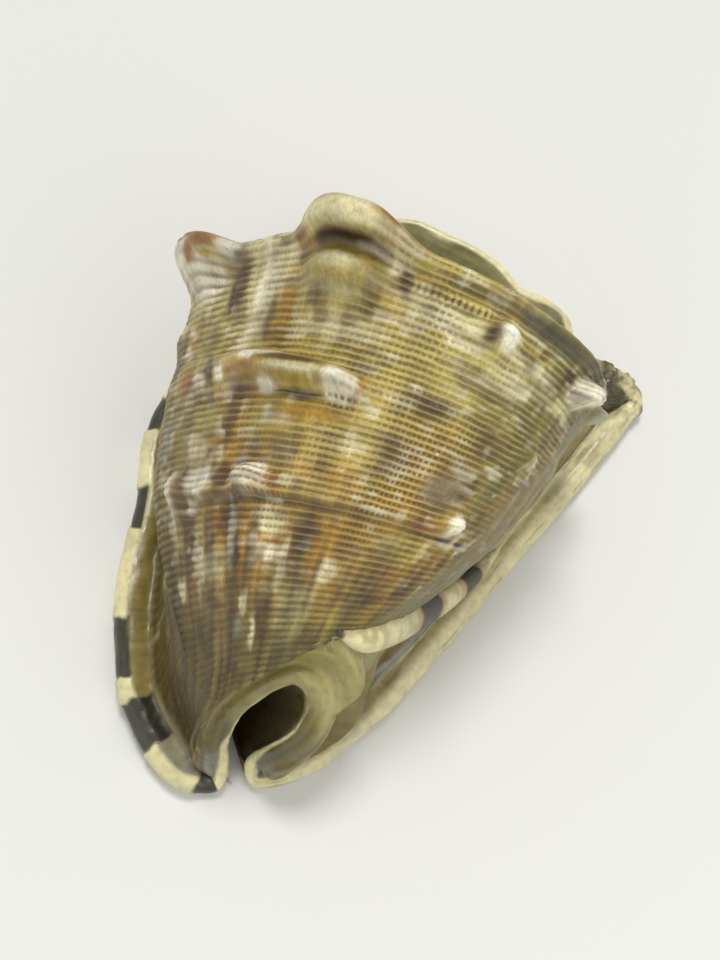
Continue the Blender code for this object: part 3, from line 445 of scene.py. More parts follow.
def spline(knots, values, at, keep_order=False):
    """Smooth curve through the values at the knots: a cubic in each span, with the
    slopes at its ends taken from the neighbouring spans."""
    knots = np.asarray(knots, float)
    values = np.asarray(values, float)
    flat = values.ndim == 1
    if flat:
        values = values[:, None]
    step = np.diff(knots)[:, None]
    slope = np.diff(values, axis=0) / step
    tangent = np.empty_like(values)
    tangent[0] = slope[0]
    tangent[-1] = slope[-1]
    tangent[1:-1] = (slope[1:] * step[:-1] + slope[:-1] * step[1:]) / (step[1:] + step[:-1])
    if keep_order:
        tangent[1:-1][slope[1:] * slope[:-1] <= 0] = 0
    at = np.asarray(at, float)
    span = np.clip(np.searchsorted(knots, at, side="right") - 1, 0, len(knots) - 2)
    width = step[span, 0]
    t = np.clip((at - knots[span]) / width, 0, 1)[..., None]
    width = width[..., None]
    result = ((2 * t**3 - 3 * t**2 + 1) * values[span]
              + (t**3 - 2 * t**2 + t) * width * tangent[span]
              + (3 * t**2 - 2 * t**3) * values[span + 1]
              + (t**3 - t**2) * width * tangent[span + 1])
    return result[..., 0] if flat else result


def closed_spline(knots, length, values, at):
    """The same curve through stations that close on themselves after the length."""
    over = 3
    values = np.asarray(values, float)
    all_knots = np.concatenate([knots[-over:] - length, knots, knots[:over] + length])
    all_values = np.concatenate([values[-over:], values, values[:over]])
    return spline(all_knots, all_values, at)


def unit(vectors):
    """Vectors scaled to length one."""
    return vectors / np.linalg.norm(vectors, axis=-1, keepdims=True)


def smooth(low, high, value):
    """0 below low, 1 above high, and an even S-curve between them."""
    t = np.clip((value - low) / (high - low), 0, 1)
    return t * t * (3 - 2 * t)


def stretch(at, ends):
    """1 inside a stretch and 0 outside it, by its start, full, falling and end points."""
    rise, full, fall, end = ends
    return smooth(rise, full, at) * smooth(end, fall, at)


def hump(value, width, power=2):
    """Bump exp(-|value/width|^power): 1 at nought, gone at about twice the width."""
    return np.exp(-np.abs(value / width) ** power)


def away(angle, place, middle, half_angle, where, half_place):
    """Square of the distance from a spot of the whorl, measured in its half widths."""
    return ((angle - middle) / half_angle) ** 2 + ((place - where) / half_place) ** 2


def tilted(across, along, up):
    """Points given about the coiling axis, turned into the shell's frame."""
    cosine, sine = math.cos(AXIS_TILT), math.sin(AXIS_TILT)
    return np.stack([across, along * cosine - up * sine,
                     AXIS_HEIGHT + along * sine + up * cosine], -1)


def from_axis(points):
    """Directions straight out from the coiling axis to the points."""
    axis = np.array([0, math.cos(AXIS_TILT), math.sin(AXIS_TILT)])
    spoke = points - np.array([0, 0, AXIS_HEIGHT])
    return unit(spoke - (spoke @ axis)[..., None] * axis)


def sum_of_bumps(table, angle, place):
    """Bumps of the form top * exp(-r^(2*bluntness)), with r the distance from the middle
    measured in half widths: their height, and their lean towards the spire."""
    height = np.zeros(np.broadcast(angle, place).shape)
    lean = np.zeros_like(height)
    for middle, where, half_angle, half_place, top, leaning, bluntness in table:
        off = away(angle, place, middle, half_angle, where, half_place)
        bump = top * np.exp(-off**bluntness)
        height += bump
        lean += bump * leaning
    return height, lean


def whorl_size(angle):
    """Radius and growth of the last whorl: splines and an exponential of the angle.
    Past the lip both run back to their first values, so that the rings close."""
    back = smooth(BODY_END, BODY_START + 360, angle)
    own = np.minimum(angle, BODY_END + 25)
    early = ROUND_RADIUS[0] * np.exp(SPIRE_RATE * np.radians(angle - BODY_START))
    radius = np.where(angle < BODY_START, early, spline(ROUND_ANGLE, ROUND_RADIUS, own))
    radius = radius * (1 - back) + ROUND_RADIUS[0] * back
    growth = np.exp(GROWTH_RATE * np.radians(own))
    first = math.exp(GROWTH_RATE * math.radians(BODY_START))
    return radius, growth * (1 - back) + first * back, 1 - back


def body_point(angle, place, rise=0.0, lean=0.0):
    """Surface of the last whorl: a profile carried round the axis while it grows.

    The angle is in degrees, 0 on top and growing towards the lip; the place runs from the
    suture over the shoulder (0) to the canal. Rise and lean are added in millimetres,
    away from the axis and towards the spire."""
    angle, place = np.broadcast_arrays(np.asarray(angle, float), np.asarray(place, float))
    radius, growth, fade = whorl_size(angle)
    share = spline(PROFILE_PLACE, PROFILE_SHARE, place, keep_order=True)
    along = spline(PROFILE_PLACE, PROFILE_ALONG, place)
    reach = radius * share * SHOULDER_RADIUS + rise * fade
    height = (GROWTH_APEX - growth * (GROWTH_APEX + along)) * SHOULDER_RADIUS + lean * fade
    turn = np.radians(angle)
    return tilted(-np.sin(turn) * reach, height, np.cos(turn) * reach)


def slot_frame(share):
    """Middle, half width, direction and left-to-right normal along the aperture."""
    line = np.asarray(SLOT_LINE, float)
    knots = np.concatenate([[0], np.cumsum(np.linalg.norm(np.diff(line, axis=0), axis=1))])
    knots = knots / knots[-1]
    step = 1e-3
    middle = spline(knots, line, share)
    half = spline(knots, SLOT_HALF_WIDTH, share)
    ahead = spline(knots, line, np.clip(share + step, 0, 1))
    behind = spline(knots, line, np.clip(share - step, 0, 1))
    way = unit(ahead - behind)
    return middle, half, way, np.stack([-way[..., 1], way[..., 0]], -1)


def margin_stations():
    """The stations of the margin as arrays: rim, start on the body, edge at the slot."""
    rows = np.array(OUTER_MARGIN + CANAL_RIM, float)
    canal = np.arange(len(rows)) >= len(OUTER_MARGIN)
    start = body_point(rows[:, 4], rows[:, 5])
    start[:, 2] = np.maximum(start[:, 2], UNDERSIDE_CLEARANCE)
    middle, half, way, normal = slot_frame(rows[:, 6])
    side = rows[:, 7] * math.pi / 2
    across = np.sin(side)[:, None] * normal
    ahead = np.where(canal | (np.abs(rows[:, 7]) == 1), 0, np.cos(side))[:, None] * way
    edge = middle + half[:, None] * (across - ahead)
    edge = np.column_stack([edge, np.where(canal, CANAL_FLOOR, 0.0)])
    top = np.column_stack([middle - 0.1 * half[:, None] * across, np.full(len(rows), SLOT_DEPTH)])
    open_canal = smooth(0.74, 0.80, rows[:, 6:7])
    vault = top + (edge - top) * open_canal
    return rows, start, edge, vault, canal


def between(share, first, handle_a, handle_b, last):
    """Points of the cubic curve that leaves and arrives along its two handles."""
    rest = 1 - share
    return (rest**3 * first + 3 * rest**2 * share * handle_a
            + 3 * rest * share**2 * handle_b + share**3 * last)


def margin_lines(at=None):
    """Everything that the sections need, at places (mm) along the closed loop of the rim."""
    rows, start, edge, vault, canal = margin_stations()
    chord = np.linalg.norm(np.roll(rows[:, :3], -1, 0) - rows[:, :3], axis=1)
    knots = np.concatenate([[0], np.cumsum(chord)[:-1]])
    length = chord.sum()
    if at is None:
        at = np.linspace(0, length, LOOP_STEPS, endpoint=False)
    values = np.column_stack([rows[:, :4], rows[:, 8], canal, rows[:, 4:6], start, edge, vault])
    values = closed_spline(knots, length, values, at)
    return {"at": at, "length": length, "rim": values[:, 0:3], "radius": values[:, 3:4],
            "fold": np.clip(values[:, 4:5], 0, 1), "canal": np.clip(values[:, 5:6], 0, 1),
            "angle": values[:, 6], "place": values[:, 7], "start": values[:, 8:11],
            "edge": values[:, 11:14], "vault": values[:, 14:17]}


def margin_surface():
    """The margin as sections along its closed loop: out over the back of the sheet, round
    the rim as part of a circle, in under it to the aperture, and up the aperture's wall."""
    line = margin_lines()
    rim, radius, start, edge = line["rim"], line["radius"], line["start"], line["edge"]
    forward = np.roll(rim, -1, 0) - np.roll(rim, 1, 0)
    out = unit(np.stack([-forward[:, 1], forward[:, 0], 0 * forward[:, 0]], 1))
    up = np.array([0, 0, 1.0])
    spoke = from_axis(start)

    rolled_in = rim + radius * (math.cos(ROLL_START) * out + math.sin(ROLL_START) * up)
    arrive = math.sin(ROLL_START) * out - math.cos(ROLL_START) * up
    run = rolled_in - start
    leave = unit(run - (run * spoke).sum(1, keepdims=True) * spoke)
    distance = np.linalg.norm(run, axis=1, keepdims=True)
    first = start - spoke * SHEET_SINK
    share = np.linspace(0, 1, BACK_STEPS, endpoint=False)[:, None, None]
    back = between(share, first, first + leave * distance * 0.38,
                   rolled_in - arrive * distance * 0.34, rolled_in)
    raised = unit(np.cross(unit(forward), leave))
    raised = raised * np.where(raised[:, 2:] < 0, -1, 1)
    back = back + np.exp(-((share - 0.45) / 0.2) ** 2) * line["fold"] * FOLD_HEIGHT * raised

    raised_rim = np.clip((rim[:, 2:] - radius) / RAISED_RIM, 0, 1)
    turned_down = np.maximum(line["canal"], raised_rim)
    roll_end = OUTER_ROLL_END + (RAISED_ROLL_END - OUTER_ROLL_END) * turned_down
    share = np.linspace(0, 1, ROLL_STEPS, endpoint=False)[:, None, None]
    turn = ROLL_START + (roll_end - ROLL_START) * share
    rolled = rim + radius * (np.cos(turn) * out + np.sin(turn) * up)

    rolled_out = rim + radius * (np.cos(roll_end) * out + np.sin(roll_end) * up)
    flat_run = unit((edge - rolled_out) * np.array([1, 1, 0]))
    leave = -np.sin(roll_end) * flat_run - np.cos(roll_end) * up
    distance = np.linalg.norm(edge - rolled_out, axis=1, keepdims=True)
    plain, drop = distance * 0.33, rim[:, 2:] * 0.6
    canal = line["canal"] > 0.5
    handle_a = np.where(canal, plain, plain + (drop - plain) * raised_rim)
    handle_b = np.where(canal, plain, plain + (distance - RAISED_RUN - plain) * raised_rim)
    share = np.linspace(0, 1, UNDER_STEPS, endpoint=False)[:, None, None]
    under = between(share, rolled_out, rolled_out + leave * handle_a,
                    edge - flat_run * handle_b, edge)
    share = np.linspace(0, 1, WALL_STEPS)[:, None, None]
    arch = edge + np.array([0, 0, 9.0]) * smooth(0, 6, line["vault"][:, 2:] - edge[:, 2:])
    wall = (1 - share)**2 * edge + 2 * (1 - share) * share * arch + share**2 * line["vault"]
    grid = np.concatenate([back, rolled, under, wall], 0).transpose(1, 0, 2)
    grid[..., 2] = np.maximum(grid[..., 2], 0)
    return grid, line


def rough(across, along, seed):
    """Smooth random field from 0 to 1: one random value at each point of a square grid,
    blended between the points with an even S-curve."""
    size = 64
    table = np.random.default_rng(seed).random((size, size))
    across, along = np.broadcast_arrays(across, along)
    column, row = np.floor(across).astype(int), np.floor(along).astype(int)
    part_x, part_y = across - column, along - row
    part_x = part_x * part_x * (3 - 2 * part_x)
    part_y = part_y * part_y * (3 - 2 * part_y)
    left, right, low, high = column % size, (column + 1) % size, row % size, (row + 1) % size
    bottom = table[low, left] * (1 - part_x) + table[low, right] * part_x
    top = table[high, left] * (1 - part_x) + table[high, right] * part_x
    return bottom * (1 - part_y) + top * part_y


def uneven(across, along, seed):
    """The same field moved down to lie between -0.5 and 0.5."""
    return rough(across, along, seed) - 0.5


def wave(value):
    """Distance to the nearest whole number, from 0 on it to 1 half way between two."""
    return 2 * np.abs(value - np.round(value))


def callus_cover(angle, place):
    """Share of callus over the ribs: 1 beyond its edge on the right, 0 on the open whorl."""
    edge = np.interp(place, CALLUS_PLACE, CALLUS_ANGLE)
    return smooth(-2, 4, edge - angle)


def horn_parts(angle, place):
    """The horn as a height that changes with the place, and a blunt bump across it."""
    height = spline(HORN_PLACE, HORN_HEIGHT, place, keep_order=True)
    width = np.interp(place, HORN_PLACE, HORN_WIDTH)
    return height, hump(angle - HORN_ANGLE, width, 2 * HORN_BLUNTNESS)


def body_relief(angle, place, shape):
    """Rise and lean in millimetres: bumps, ridges whose one side is a sharp step, long
    growth waves, and round cords and threads with narrow grooves between them."""
    rise, lean = sum_of_bumps(KNOBS, angle, place)
    for where, half_place, top in RIDGES:
        rise = rise + top * hump(place - where, half_place)
    height, bump = horn_parts(angle, place)
    rise = rise + height * bump + upper_step(angle, place)
    lean = lean + height * bump * np.interp(place, HORN_PLACE, HORN_LEAN)
    past = place - LOW_STEP_PLACE
    top = np.interp(angle, LOW_STEP_ANGLE, LOW_STEP_HEIGHT)
    rise = rise + top * smooth(0.008, -0.008, past) * hump(past, LOW_STEP_FOOT)

    waves = uneven(angle / 5.0, place * 1.5, 11) + 0.5 * uneven(angle / 2.2, place, 12)
    waves = waves + 0.6 * uneven(angle / 25, place / (2.6 * CORD_PITCH), 13)
    rise = rise + waves * 2 * shape.growth_waves / MILLIMETRE
    bare = (1 - 0.7 * callus_cover(angle, place)) * smooth(106, 98, angle)
    bare = bare * (1 - worn_share(angle, place))
    groove = smooth(0.7, 0.0, wave(place / CORD_PITCH))
    gap = smooth(0.8, 0.0, wave(thread_phase(angle, place)))
    rise = rise - bare * groove * shape.cord_depth / MILLIMETRE
    return rise - bare * gap * shape.thread_depth / MILLIMETRE, lean


def upper_step(angle, place):
    """The second ridge: a sharp step up on its spire side, and a fall on the other side
    that is steep under the white tip on the right and gentle towards the lip."""
    past = place - np.interp(angle, STEP_ANGLE, STEP_PLACE)
    fall = smooth(np.interp(angle, STEP_ANGLE, STEP_FALL_END),
                  np.interp(angle, STEP_ANGLE, STEP_FALL_START), past)
    return spline(STEP_ANGLE, STEP_HEIGHT, angle) * smooth(-0.014, 0.014, past) * fall


def worn_share(angle, place):
    """Share of the ribs worn away: on the horn, on the second ridge and in worn areas."""
    height, bump = horn_parts(angle, place)
    worn = (height / max(HORN_HEIGHT)) ** 0.5 * bump
    for spot in WORN:
        worn = np.maximum(worn, np.exp(-away(angle, place, *spot) ** 2))
    ridge = upper_step(angle, place) / max(STEP_HEIGHT)
    worn = np.maximum(worn, 1.1 * np.minimum(ridge, 0.85))
    return np.minimum(worn, 1) * MOST_WEAR


def thread_phase(angle, place):
    """Count of growth threads: the angle over their pitch, with a slow wander."""
    return angle / THREAD_PITCH + 1.2 * rough(angle / 9, place * 3, 21)


def clear_aperture(points):
    """Lifts the hidden underside of a whorl off the floor, and higher above the aperture,
    so that nothing of it shows in the slot."""
    line = spline(np.linspace(0, 1, len(SLOT_LINE)), SLOT_LINE, np.linspace(0, 1, 60))
    offset = np.full(points.shape[:2], np.inf)
    for spot in line:
        offset = np.minimum(offset, np.hypot(points[..., 0] - spot[0], points[..., 1] - spot[1]))
    floor = UNDERSIDE_CLEARANCE + SLOT_COVER * smooth(12, 7, offset)
    points[..., 2] = np.maximum(points[..., 2], floor)


def panel_surface(panel, shape):
    """One panel of the last whorl as a grid of angle (columns) and place (rows)."""
    _, first, last, columns, rows = panel
    angle = np.linspace(first, last, columns)
    wrapped = np.concatenate([FRONT_ANGLE, [FRONT_ANGLE[0] + 360]])
    front = spline(wrapped, (*FRONT_PLACE, FRONT_PLACE[0]),
                   (angle - FRONT_ANGLE[0]) % 360 + FRONT_ANGLE[0]) + 0.03
    share = np.linspace(0, 1, rows)[:, None]
    place = PROFILE_PLACE[0] + share * (front - PROFILE_PLACE[0])
    angle, place = np.broadcast_arrays(angle[None, :], place)
    rise, lean = body_relief(angle, place, shape)
    points = body_point(angle, place, rise, lean)
    clear_aperture(points)
    return points.transpose(1, 0, 2), angle.T, place.T


def spire_surface(shape):
    """The earlier whorls: the profile carried back round the axis, shrinking by a fixed
    share each turn, so that each whorl sits on the ramp of the next one. Each shoulder
    bears low knobs that shrink with it, and the first turn closes in a point."""
    angle = np.linspace(BODY_START - 360 * SPIRE_TURNS, BODY_START + 40, SPIRE_STEPS)[:, None]
    place = np.linspace(PROFILE_PLACE[0], 0.45, SPIRE_ROWS)[None, :]
    size = np.exp(SPIRE_RATE * np.radians(angle - BODY_START))
    share = spline(PROFILE_PLACE, PROFILE_SHARE, place, keep_order=True)
    along = spline(PROFILE_PLACE, PROFILE_ALONG, place)
    knob = np.maximum(np.cos(np.radians(angle * SPIRE_KNOBS)), 0) ** 1.5
    rise = SPIRE_KNOB_HEIGHT * knob * np.exp(-((place - 0.02) / 0.06) ** 2)
    rise = rise - smooth(0.7, 0, wave(place / (2 * CORD_PITCH))) * shape.cord_depth / MILLIMETRE
    first = ROUND_RADIUS[0]
    reach = size * (first * share * SHOULDER_RADIUS + rise)
    drop = (SPIRE_APEX - SPIRE_SHOULDER) * size + first * size * along
    height = (SPIRE_APEX - drop) * SHOULDER_RADIUS
    turn = np.radians(angle)
    points = tilted(-np.sin(turn) * reach, height, np.cos(turn) * reach)
    points[0] = points[0].mean(0)
    clear_aperture(points)
    return points, *np.broadcast_arrays(angle, place)


def varix_surface():
    """The old varix: ovals of changing size carried along a curve through its points,
    the long way of each one along the whorl's surface."""
    rows = np.array(VARIX, float)
    knots = np.linspace(0, 1, len(rows))
    values = spline(knots, rows, np.linspace(0, 1, VARIX_STEPS))
    path, radius = values[:, None, :3], values[:, None, 3:]
    way = unit(np.gradient(path, axis=0))
    side = unit(np.cross(way, from_axis(path)))
    turn = np.linspace(0, 2 * math.pi, VARIX_SIDES, endpoint=False)[None, :, None]
    outwards = VARIX_BREADTH * np.cos(turn) * side + np.sin(turn) * np.cross(side, way)
    points = path + radius * outwards
    points[0], points[-1] = path[0], path[-1]
    return points


def under_share(at):
    """How far each column of the margin's grid lies in from the rim towards the slot."""
    column = np.broadcast_to(np.arange(at.shape[1]), at.shape)
    return (column - BACK_STEPS - ROLL_STEPS) / UNDER_STEPS


def teeth_and_folds(at):
    """The ridges beside the slot: even teeth inside the lip, uneven folds on the shield."""
    teeth = smooth(0.2, 0.9, wave(at / TOOTH_PITCH)) * stretch(at, TEETH)
    folds = smooth(0.2, 0.8, wave(at / FOLD_PITCH + 0.8 * rough(at / 9, 0 * at, 31)))
    return np.maximum(teeth, folds * stretch(at, FOLDS))


def rim_reach(at):
    """Millimetres that the rim tint reaches over the back, with an uneven edge."""
    return np.interp(at, *np.transpose(RIM_REACH)) + 1.5 * uneven(at / 9, 0 * at, 43)


def margin_relief(points, line, shape):
    """Adds the fine shape of the margin: proud pale bars on the rim, growth lines along
    the rear sheet, and teeth and folds left standing on the underside beside the slot."""
    at, across = margin_place(points, line)
    under = under_share(at)
    flat = smooth(4.0, 2.0, line["rim"][:, None, 2])
    beside = smooth(0.45, 0.85, under) * flat
    ridge = teeth_and_folds(at)
    hollow = smooth(0.0, 0.25, under) * smooth(1.3, 0.7, under) * flat
    points[..., 2] += UNDER_HOLLOW * hollow * (1 - 0.6 * ridge * beside)
    points[..., 2] += TOOTH_DEPTH * beside * (1 - ridge) * smooth(1.6, 1.0, under)

    normal = grid_normal(points)
    on_rim = smooth(-5, -1, across) * smooth(7, 4.5, across) * smooth(210, 200, at)
    dark = bar_cover(at, across, "ink")
    rise = shape.bar_rise / MILLIMETRE * on_rim * (1 - 2 * dark)
    lines = REAR_LINE_HEIGHT * uneven(at / 25, across / REAR_LINE_PITCH, 41)
    rise = rise + stretch(at, REAR_SHEET) * smooth(2.5, 4, across) * lines
    broken = BREAK_DEPTH * uneven(at / 1.6, across / 1.4, 42)
    rise = rise + stretch(at, BROKEN_CORNER) * broken * smooth(-4, 0, across)
    filled = SHIELD_FILL * smooth(2, 6, across) * smooth(20, 12, across)
    rise = rise + stretch(at, FILLED_BACK) * filled
    crease = CREASE_DEPTH * hump(across - rim_reach(at), CREASE_WIDTH)
    rise = rise - stretch(at, CREASE) * crease
    lumps = uneven(at / 7, across / 5, 44) + 0.5 * uneven(at / 2.5, across / 2.0, 45)
    rise = rise + LUMP_HEIGHT * lumps * smooth(-6, -2, across)
    from_body = np.arange(at.shape[1]) / BACK_STEPS
    points += normal * (rise * smooth(0.02, 0.2, from_body))[..., None]
    points[..., 2] = np.maximum(points[..., 2], 0)
    return at, across


def margin_place(points, line):
    """For each point of the margin: millimetres along the loop of the rim, and across it
    from the outermost line of the rim, positive on the back and negative underneath."""
    step = np.linalg.norm(np.diff(points, axis=1), axis=2)
    run = np.concatenate([np.zeros((len(points), 1)), np.cumsum(step, 1)], 1)
    outermost = BACK_STEPS + ROLL_STEPS // 2
    at = np.broadcast_to(line["at"][:, None], run.shape)
    return at, run[:, outermost:outermost + 1] - run


def grid_normal(points):
    """Outward normals of the closed margin grid, from differences along both ways."""
    around = np.roll(points, -1, 0) - np.roll(points, 1, 0)
    return unit(np.cross(around, np.gradient(points, axis=1)) + 1e-9)


def ribbed_part(line, at, across):
    """Angle and place on the whorl, carried on over the sheet that leaves it, and the
    share of ribs on it: all of it behind the strip of the lip, and none elsewhere."""
    from_start = across[:, :1] - across
    angle = line["angle"][:, None] + np.minimum(from_start, WIDEST_SHEET) / RIB_SPREAD
    place = line["place"][:, None] + 0 * across
    ribs = smooth(11.5, 14, across + 1.5 * uneven(at / 6, 0 * at, 83))
    left = np.maximum(smooth(192, 178, at), 0.5 * smooth(556, 566, at))
    left = np.maximum(left, smooth(604, 612, at))
    return angle, place, ribs * left


def bar_cover(at, across, colour):
    """Share of the bars of one colour: 1 inside their ends and reach, with uneven edges."""
    shifted = at + 1.6 * uneven(at / 3.5, across / 2.2, 51)
    cover = np.zeros(at.shape)
    for first, last, reach, name in BARS:
        if name == colour:
            ends = stretch(shifted, (first - 0.5, first + 0.5, last - 0.5, last + 0.5))
            cover = np.maximum(cover, ends * smooth(reach + 0.5, reach - 0.6, across))
    return cover * smooth(-6, -4, across)


def mix(base, colour, cover):
    """Base colours with a colour laid over them by its cover from 0 to 1. The result has
    one colour for each value of the cover."""
    return base + (colour - base) * np.asarray(cover)[..., None]


def ground_tints(column, row, palette):
    """Tints of the ground table, blended between its columns and rows."""
    tints = np.array([[palette[name] for name in line] for line in GROUND])
    left = np.minimum(column.astype(int), len(GROUND_ANGLE) - 2)
    low = np.minimum(row.astype(int), len(GROUND_PLACE) - 2)
    part = column - left
    near = mix(tints[low, left], tints[low, left + 1], part)
    far = mix(tints[low + 1, left], tints[low + 1, left + 1], part)
    return mix(near, far, row - low)


def growth_light(angle, place):
    """Light and dark of single cords and threads, of growth bands, and of the streaks
    that run down to the canal: factors round 1."""
    cord, thread = place / CORD_PITCH, thread_phase(angle, place)
    light = 1 + 0.34 * uneven(angle / 9, cord, 66) + 0.30 * uneven(thread, place * 4, 67)
    light = light * (1 + 0.25 * uneven(angle / 4, place * 9, 68))
    light = light * (1.04 + 0.5 * uneven(angle / 6.5, place * 2.2 + 0.3, 86))
    return light * (1 + 0.9 * smooth(0.95, 1.1, place) * uneven(angle / 2.2, place * 2.5, 89))


def callus_skin(angle, place, palette):
    """Thin callus over the ribs: two grey-greens in clouds, with faded violet-brown."""
    cloud = 0.6 * rough(angle / 9, place * 5, 69)
    cloud = cloud + 0.4 * rough(angle / 2.5, place / CORD_PITCH / 1.5, 87)
    skin = mix(palette["lichen"], palette["olive"], 0.6 * cloud)
    faded = smooth(0.5, 0.8, rough(angle / 12, place * 3, 88))
    return mix(skin, palette["mauve"], 0.7 * faded)


def body_colour(angle, place, palette):
    """Colour of the whorl: tints spread between a few places, patches on them with edges
    that run out along cords and threads, then lighter and darker cords and threads."""
    cord, thread = place / CORD_PITCH, thread_phase(angle, place)
    shifted = angle + 1.6 * uneven(angle / 7, cord, 61) + 2.0 * uneven(angle / 4, cord / 4, 62)
    moved = place + 0.020 * uneven(thread / 1.3, place * 7, 63)
    column = np.interp(shifted, GROUND_ANGLE, np.arange(len(GROUND_ANGLE)))
    row = np.interp(moved, GROUND_PLACE, np.arange(len(GROUND_PLACE)))
    colour = ground_tints(column, row, palette)
    for middle, half_angle, where, half_place, name, cover in PATCHES:
        own = place if half_place < FINE_PATCH else moved
        off = away(shifted, own, middle, half_angle, where, half_place)
        colour = mix(colour, palette[name], min(PATCH_GAIN * cover, 1) * np.exp(-off**2))
    first, last, where, half_place = DASHES
    dashes = hump(place - where, half_place, 4) * stretch(angle, (last - 1, last, first, first + 1))
    dashes = dashes * smooth(0.35, 0.75, wave(angle / THREAD_PITCH))
    colour = mix(colour, palette["umber"], 0.85 * dashes)

    ribbed = 1 - worn_share(angle, place)
    flecks = smooth(0.50, 0.90, rough(thread * 0.45, cord * 0.9, 64))
    flecks = flecks * rough(angle / 8, place * 8, 84) * smooth(1.45, 1.0, place)
    colour = mix(colour, palette["chalk"], 0.65 * flecks * ribbed)
    specks = smooth(0.45, 0.85, rough(thread * 0.4, cord * 0.7, 65))
    specks = specks * rough(angle / 9, place * 7, 85)
    colour = mix(colour, palette["brown"], 0.80 * specks * ribbed)
    covered = callus_cover(angle, place)
    light = growth_light(angle, place)
    light = (light + (1 - light) * covered) * (1 - LIP_SHADE * smooth(40, 60, angle))
    front = smooth(1.0, 1.35, place) * (1 - covered)
    colour = colour * light[..., None] * (1 - front[..., None] * FRONT_SHADE)
    return mix(colour, callus_skin(angle, place, palette), CALLUS_COVER * covered)


def back_colour(at, across, palette):
    """Colour of the margin's back: a rim, a strip and a sheet tint spread along the loop, with
    painted shade in the crease behind the rim, dark bars over it, and growth lines."""
    shifted = at + 5 * uneven(at / 6, across / 3, 71)
    turns = np.array([row[0] for row in MARGIN] + [at.max() + 1])
    tints = np.array([[palette[name] for name in row[1:]] for row in MARGIN + MARGIN[:1]])
    column = np.interp(shifted, turns, np.arange(len(turns)))
    left = np.minimum(column.astype(int), len(turns) - 2)
    rim, strip, sheet = np.moveaxis(
        mix(tints[left], tints[left + 1], (column - left)[..., None]), -2, 0)
    reach = rim_reach(at)
    colour = mix(rim, strip, smooth(-0.5, 0.7, across - reach))
    colour = mix(colour, sheet, smooth(3, 9, across - reach))
    # Painted shade in the crease behind the rim.
    crease = stretch(at, CREASE) * hump(across - reach, CREASE_SHADE_WIDTH)
    colour = mix(colour, palette["umber"], 0.75 * crease)
    pitted = smooth(0.45, 0.7, rough(at / 1.6, across / 1.4, 42)) * stretch(at, BROKEN_CORNER)
    colour = mix(colour, palette["umber"], 0.6 * pitted)
    for name in ("ink", "rust", "umber"):
        colour = mix(colour, palette[name], 0.96 * bar_cover(at, across, name))
    streaks = smooth(0.62, 0.8, rough(at / 11, across / 0.9, 79)) * smooth(335, 345, at)
    colour = mix(colour, palette["brown"], 0.40 * streaks * smooth(-3, 0, across))

    behind = smooth(reach, reach + 1, across)
    rear = stretch(at, REAR_SHEET) * behind
    light = 1 + 0.5 * rear * uneven(at / 25, across / REAR_LINE_PITCH, 41)
    lip = stretch(at, LIP_STRIP) * smooth(4, 6, across)
    light = light + 0.35 * lip * uneven(at / 1.0, across / 6, 72)
    light = light + 0.22 * uneven(at / 8, across / 4, 73) + 0.12 * uneven(at / 2, across / 1.5, 74)
    fold = smooth(480, 505, at) * behind
    light = light + 0.8 * fold * uneven(at / 22, across / 1.4, 77)
    colour = colour * light[..., None]

    # Where the sheet joins the whorl on the right, the callus runs over both.
    far = 10 + 20 * smooth(470, 500, at)
    joint = smooth(far + 6, far - 6, across[:, :1] - across) * stretch(at, JOINT)
    joint = joint * (0.6 + 0.4 * rough(at / 4, across / 3, 78))
    return mix(colour, 0.5 * (palette["lichen"] + palette["sand"]), 0.8 * joint)


def under_colour(at, across, palette):
    """Colour of the underside: glossy, from pale at the rim to salmon, with brown clouds on the
    shield, pale teeth and folds, and the wall of the canal, darker deeper in with painted shade."""
    under = under_share(at)
    inwards = smooth(0.05, 0.7, under + 0.3 * uneven(at / 30, across / 9, 75))
    gloss = mix(palette["ivory"], palette["salmon"], inwards)
    blotch = smooth(0.55, 0.8, rough(at / 26, across / 14, 76)) * stretch(at, BLOTCHES)
    gloss = mix(gloss, palette["chestnut"], 0.55 * blotch)
    ridge = teeth_and_folds(at)
    gloss = mix(gloss, palette["ivory"], ridge * smooth(0.5, 0.8, under))
    dark = (1 - ridge) * smooth(0.72, 1.0, under) * smooth(40, 55, at)
    gloss = mix(gloss, palette["chestnut"], 0.8 * dark)
    # Painted shade: the wall of the canal darkens deeper in.
    wall = mix(palette["moor"], palette["umber"], smooth(0.1, 1.1, under))
    return mix(gloss, wall, stretch(at, CANAL_WALL))


def margin_colour(at, across, points, palette):
    """Colour of the margin: its back, and its underside from just below the rim on."""
    low = np.maximum(smooth(30, 10, points[..., 2]), stretch(at, CANAL_WALL))
    return mix(back_colour(at, across, palette), under_colour(at, across, palette),
               smooth(-3.5, -6.0, across) * low)


def varix_colour(share, palette):
    """Colour of the old varix by the share of its length: dark bars with rusty edges."""
    side = np.arange(share.shape[1])
    share = share + 0.012 * uneven(side / 4, share * 60, 91)
    dark = np.max([stretch(share, ends) for ends in VARIX_BARS], 0)
    dark = np.maximum(dark, smooth(0.05, 0.02, share))
    rusty = np.max([stretch(share, ends) for ends in VARIX_STAINS], 0)
    spots = smooth(0.55, 0.8, rough(share * 40, side / 5, 92))
    colour = mix(palette["cream"], palette["dust"], 0.4 * spots)
    colour = mix(colour, palette["rust"], 0.6 * rusty)
    return mix(colour, palette["ink"], 0.93 * dark)


def linear(code):
    """Linear red, green and blue of an sRGB colour written as a hex code."""
    parts = np.array([int(code[i:i + 2], 16) for i in (1, 3, 5)]) / 255
    return np.where(parts <= 0.04045, parts / 12.92, ((parts + 0.055) / 1.055) ** 2.4)


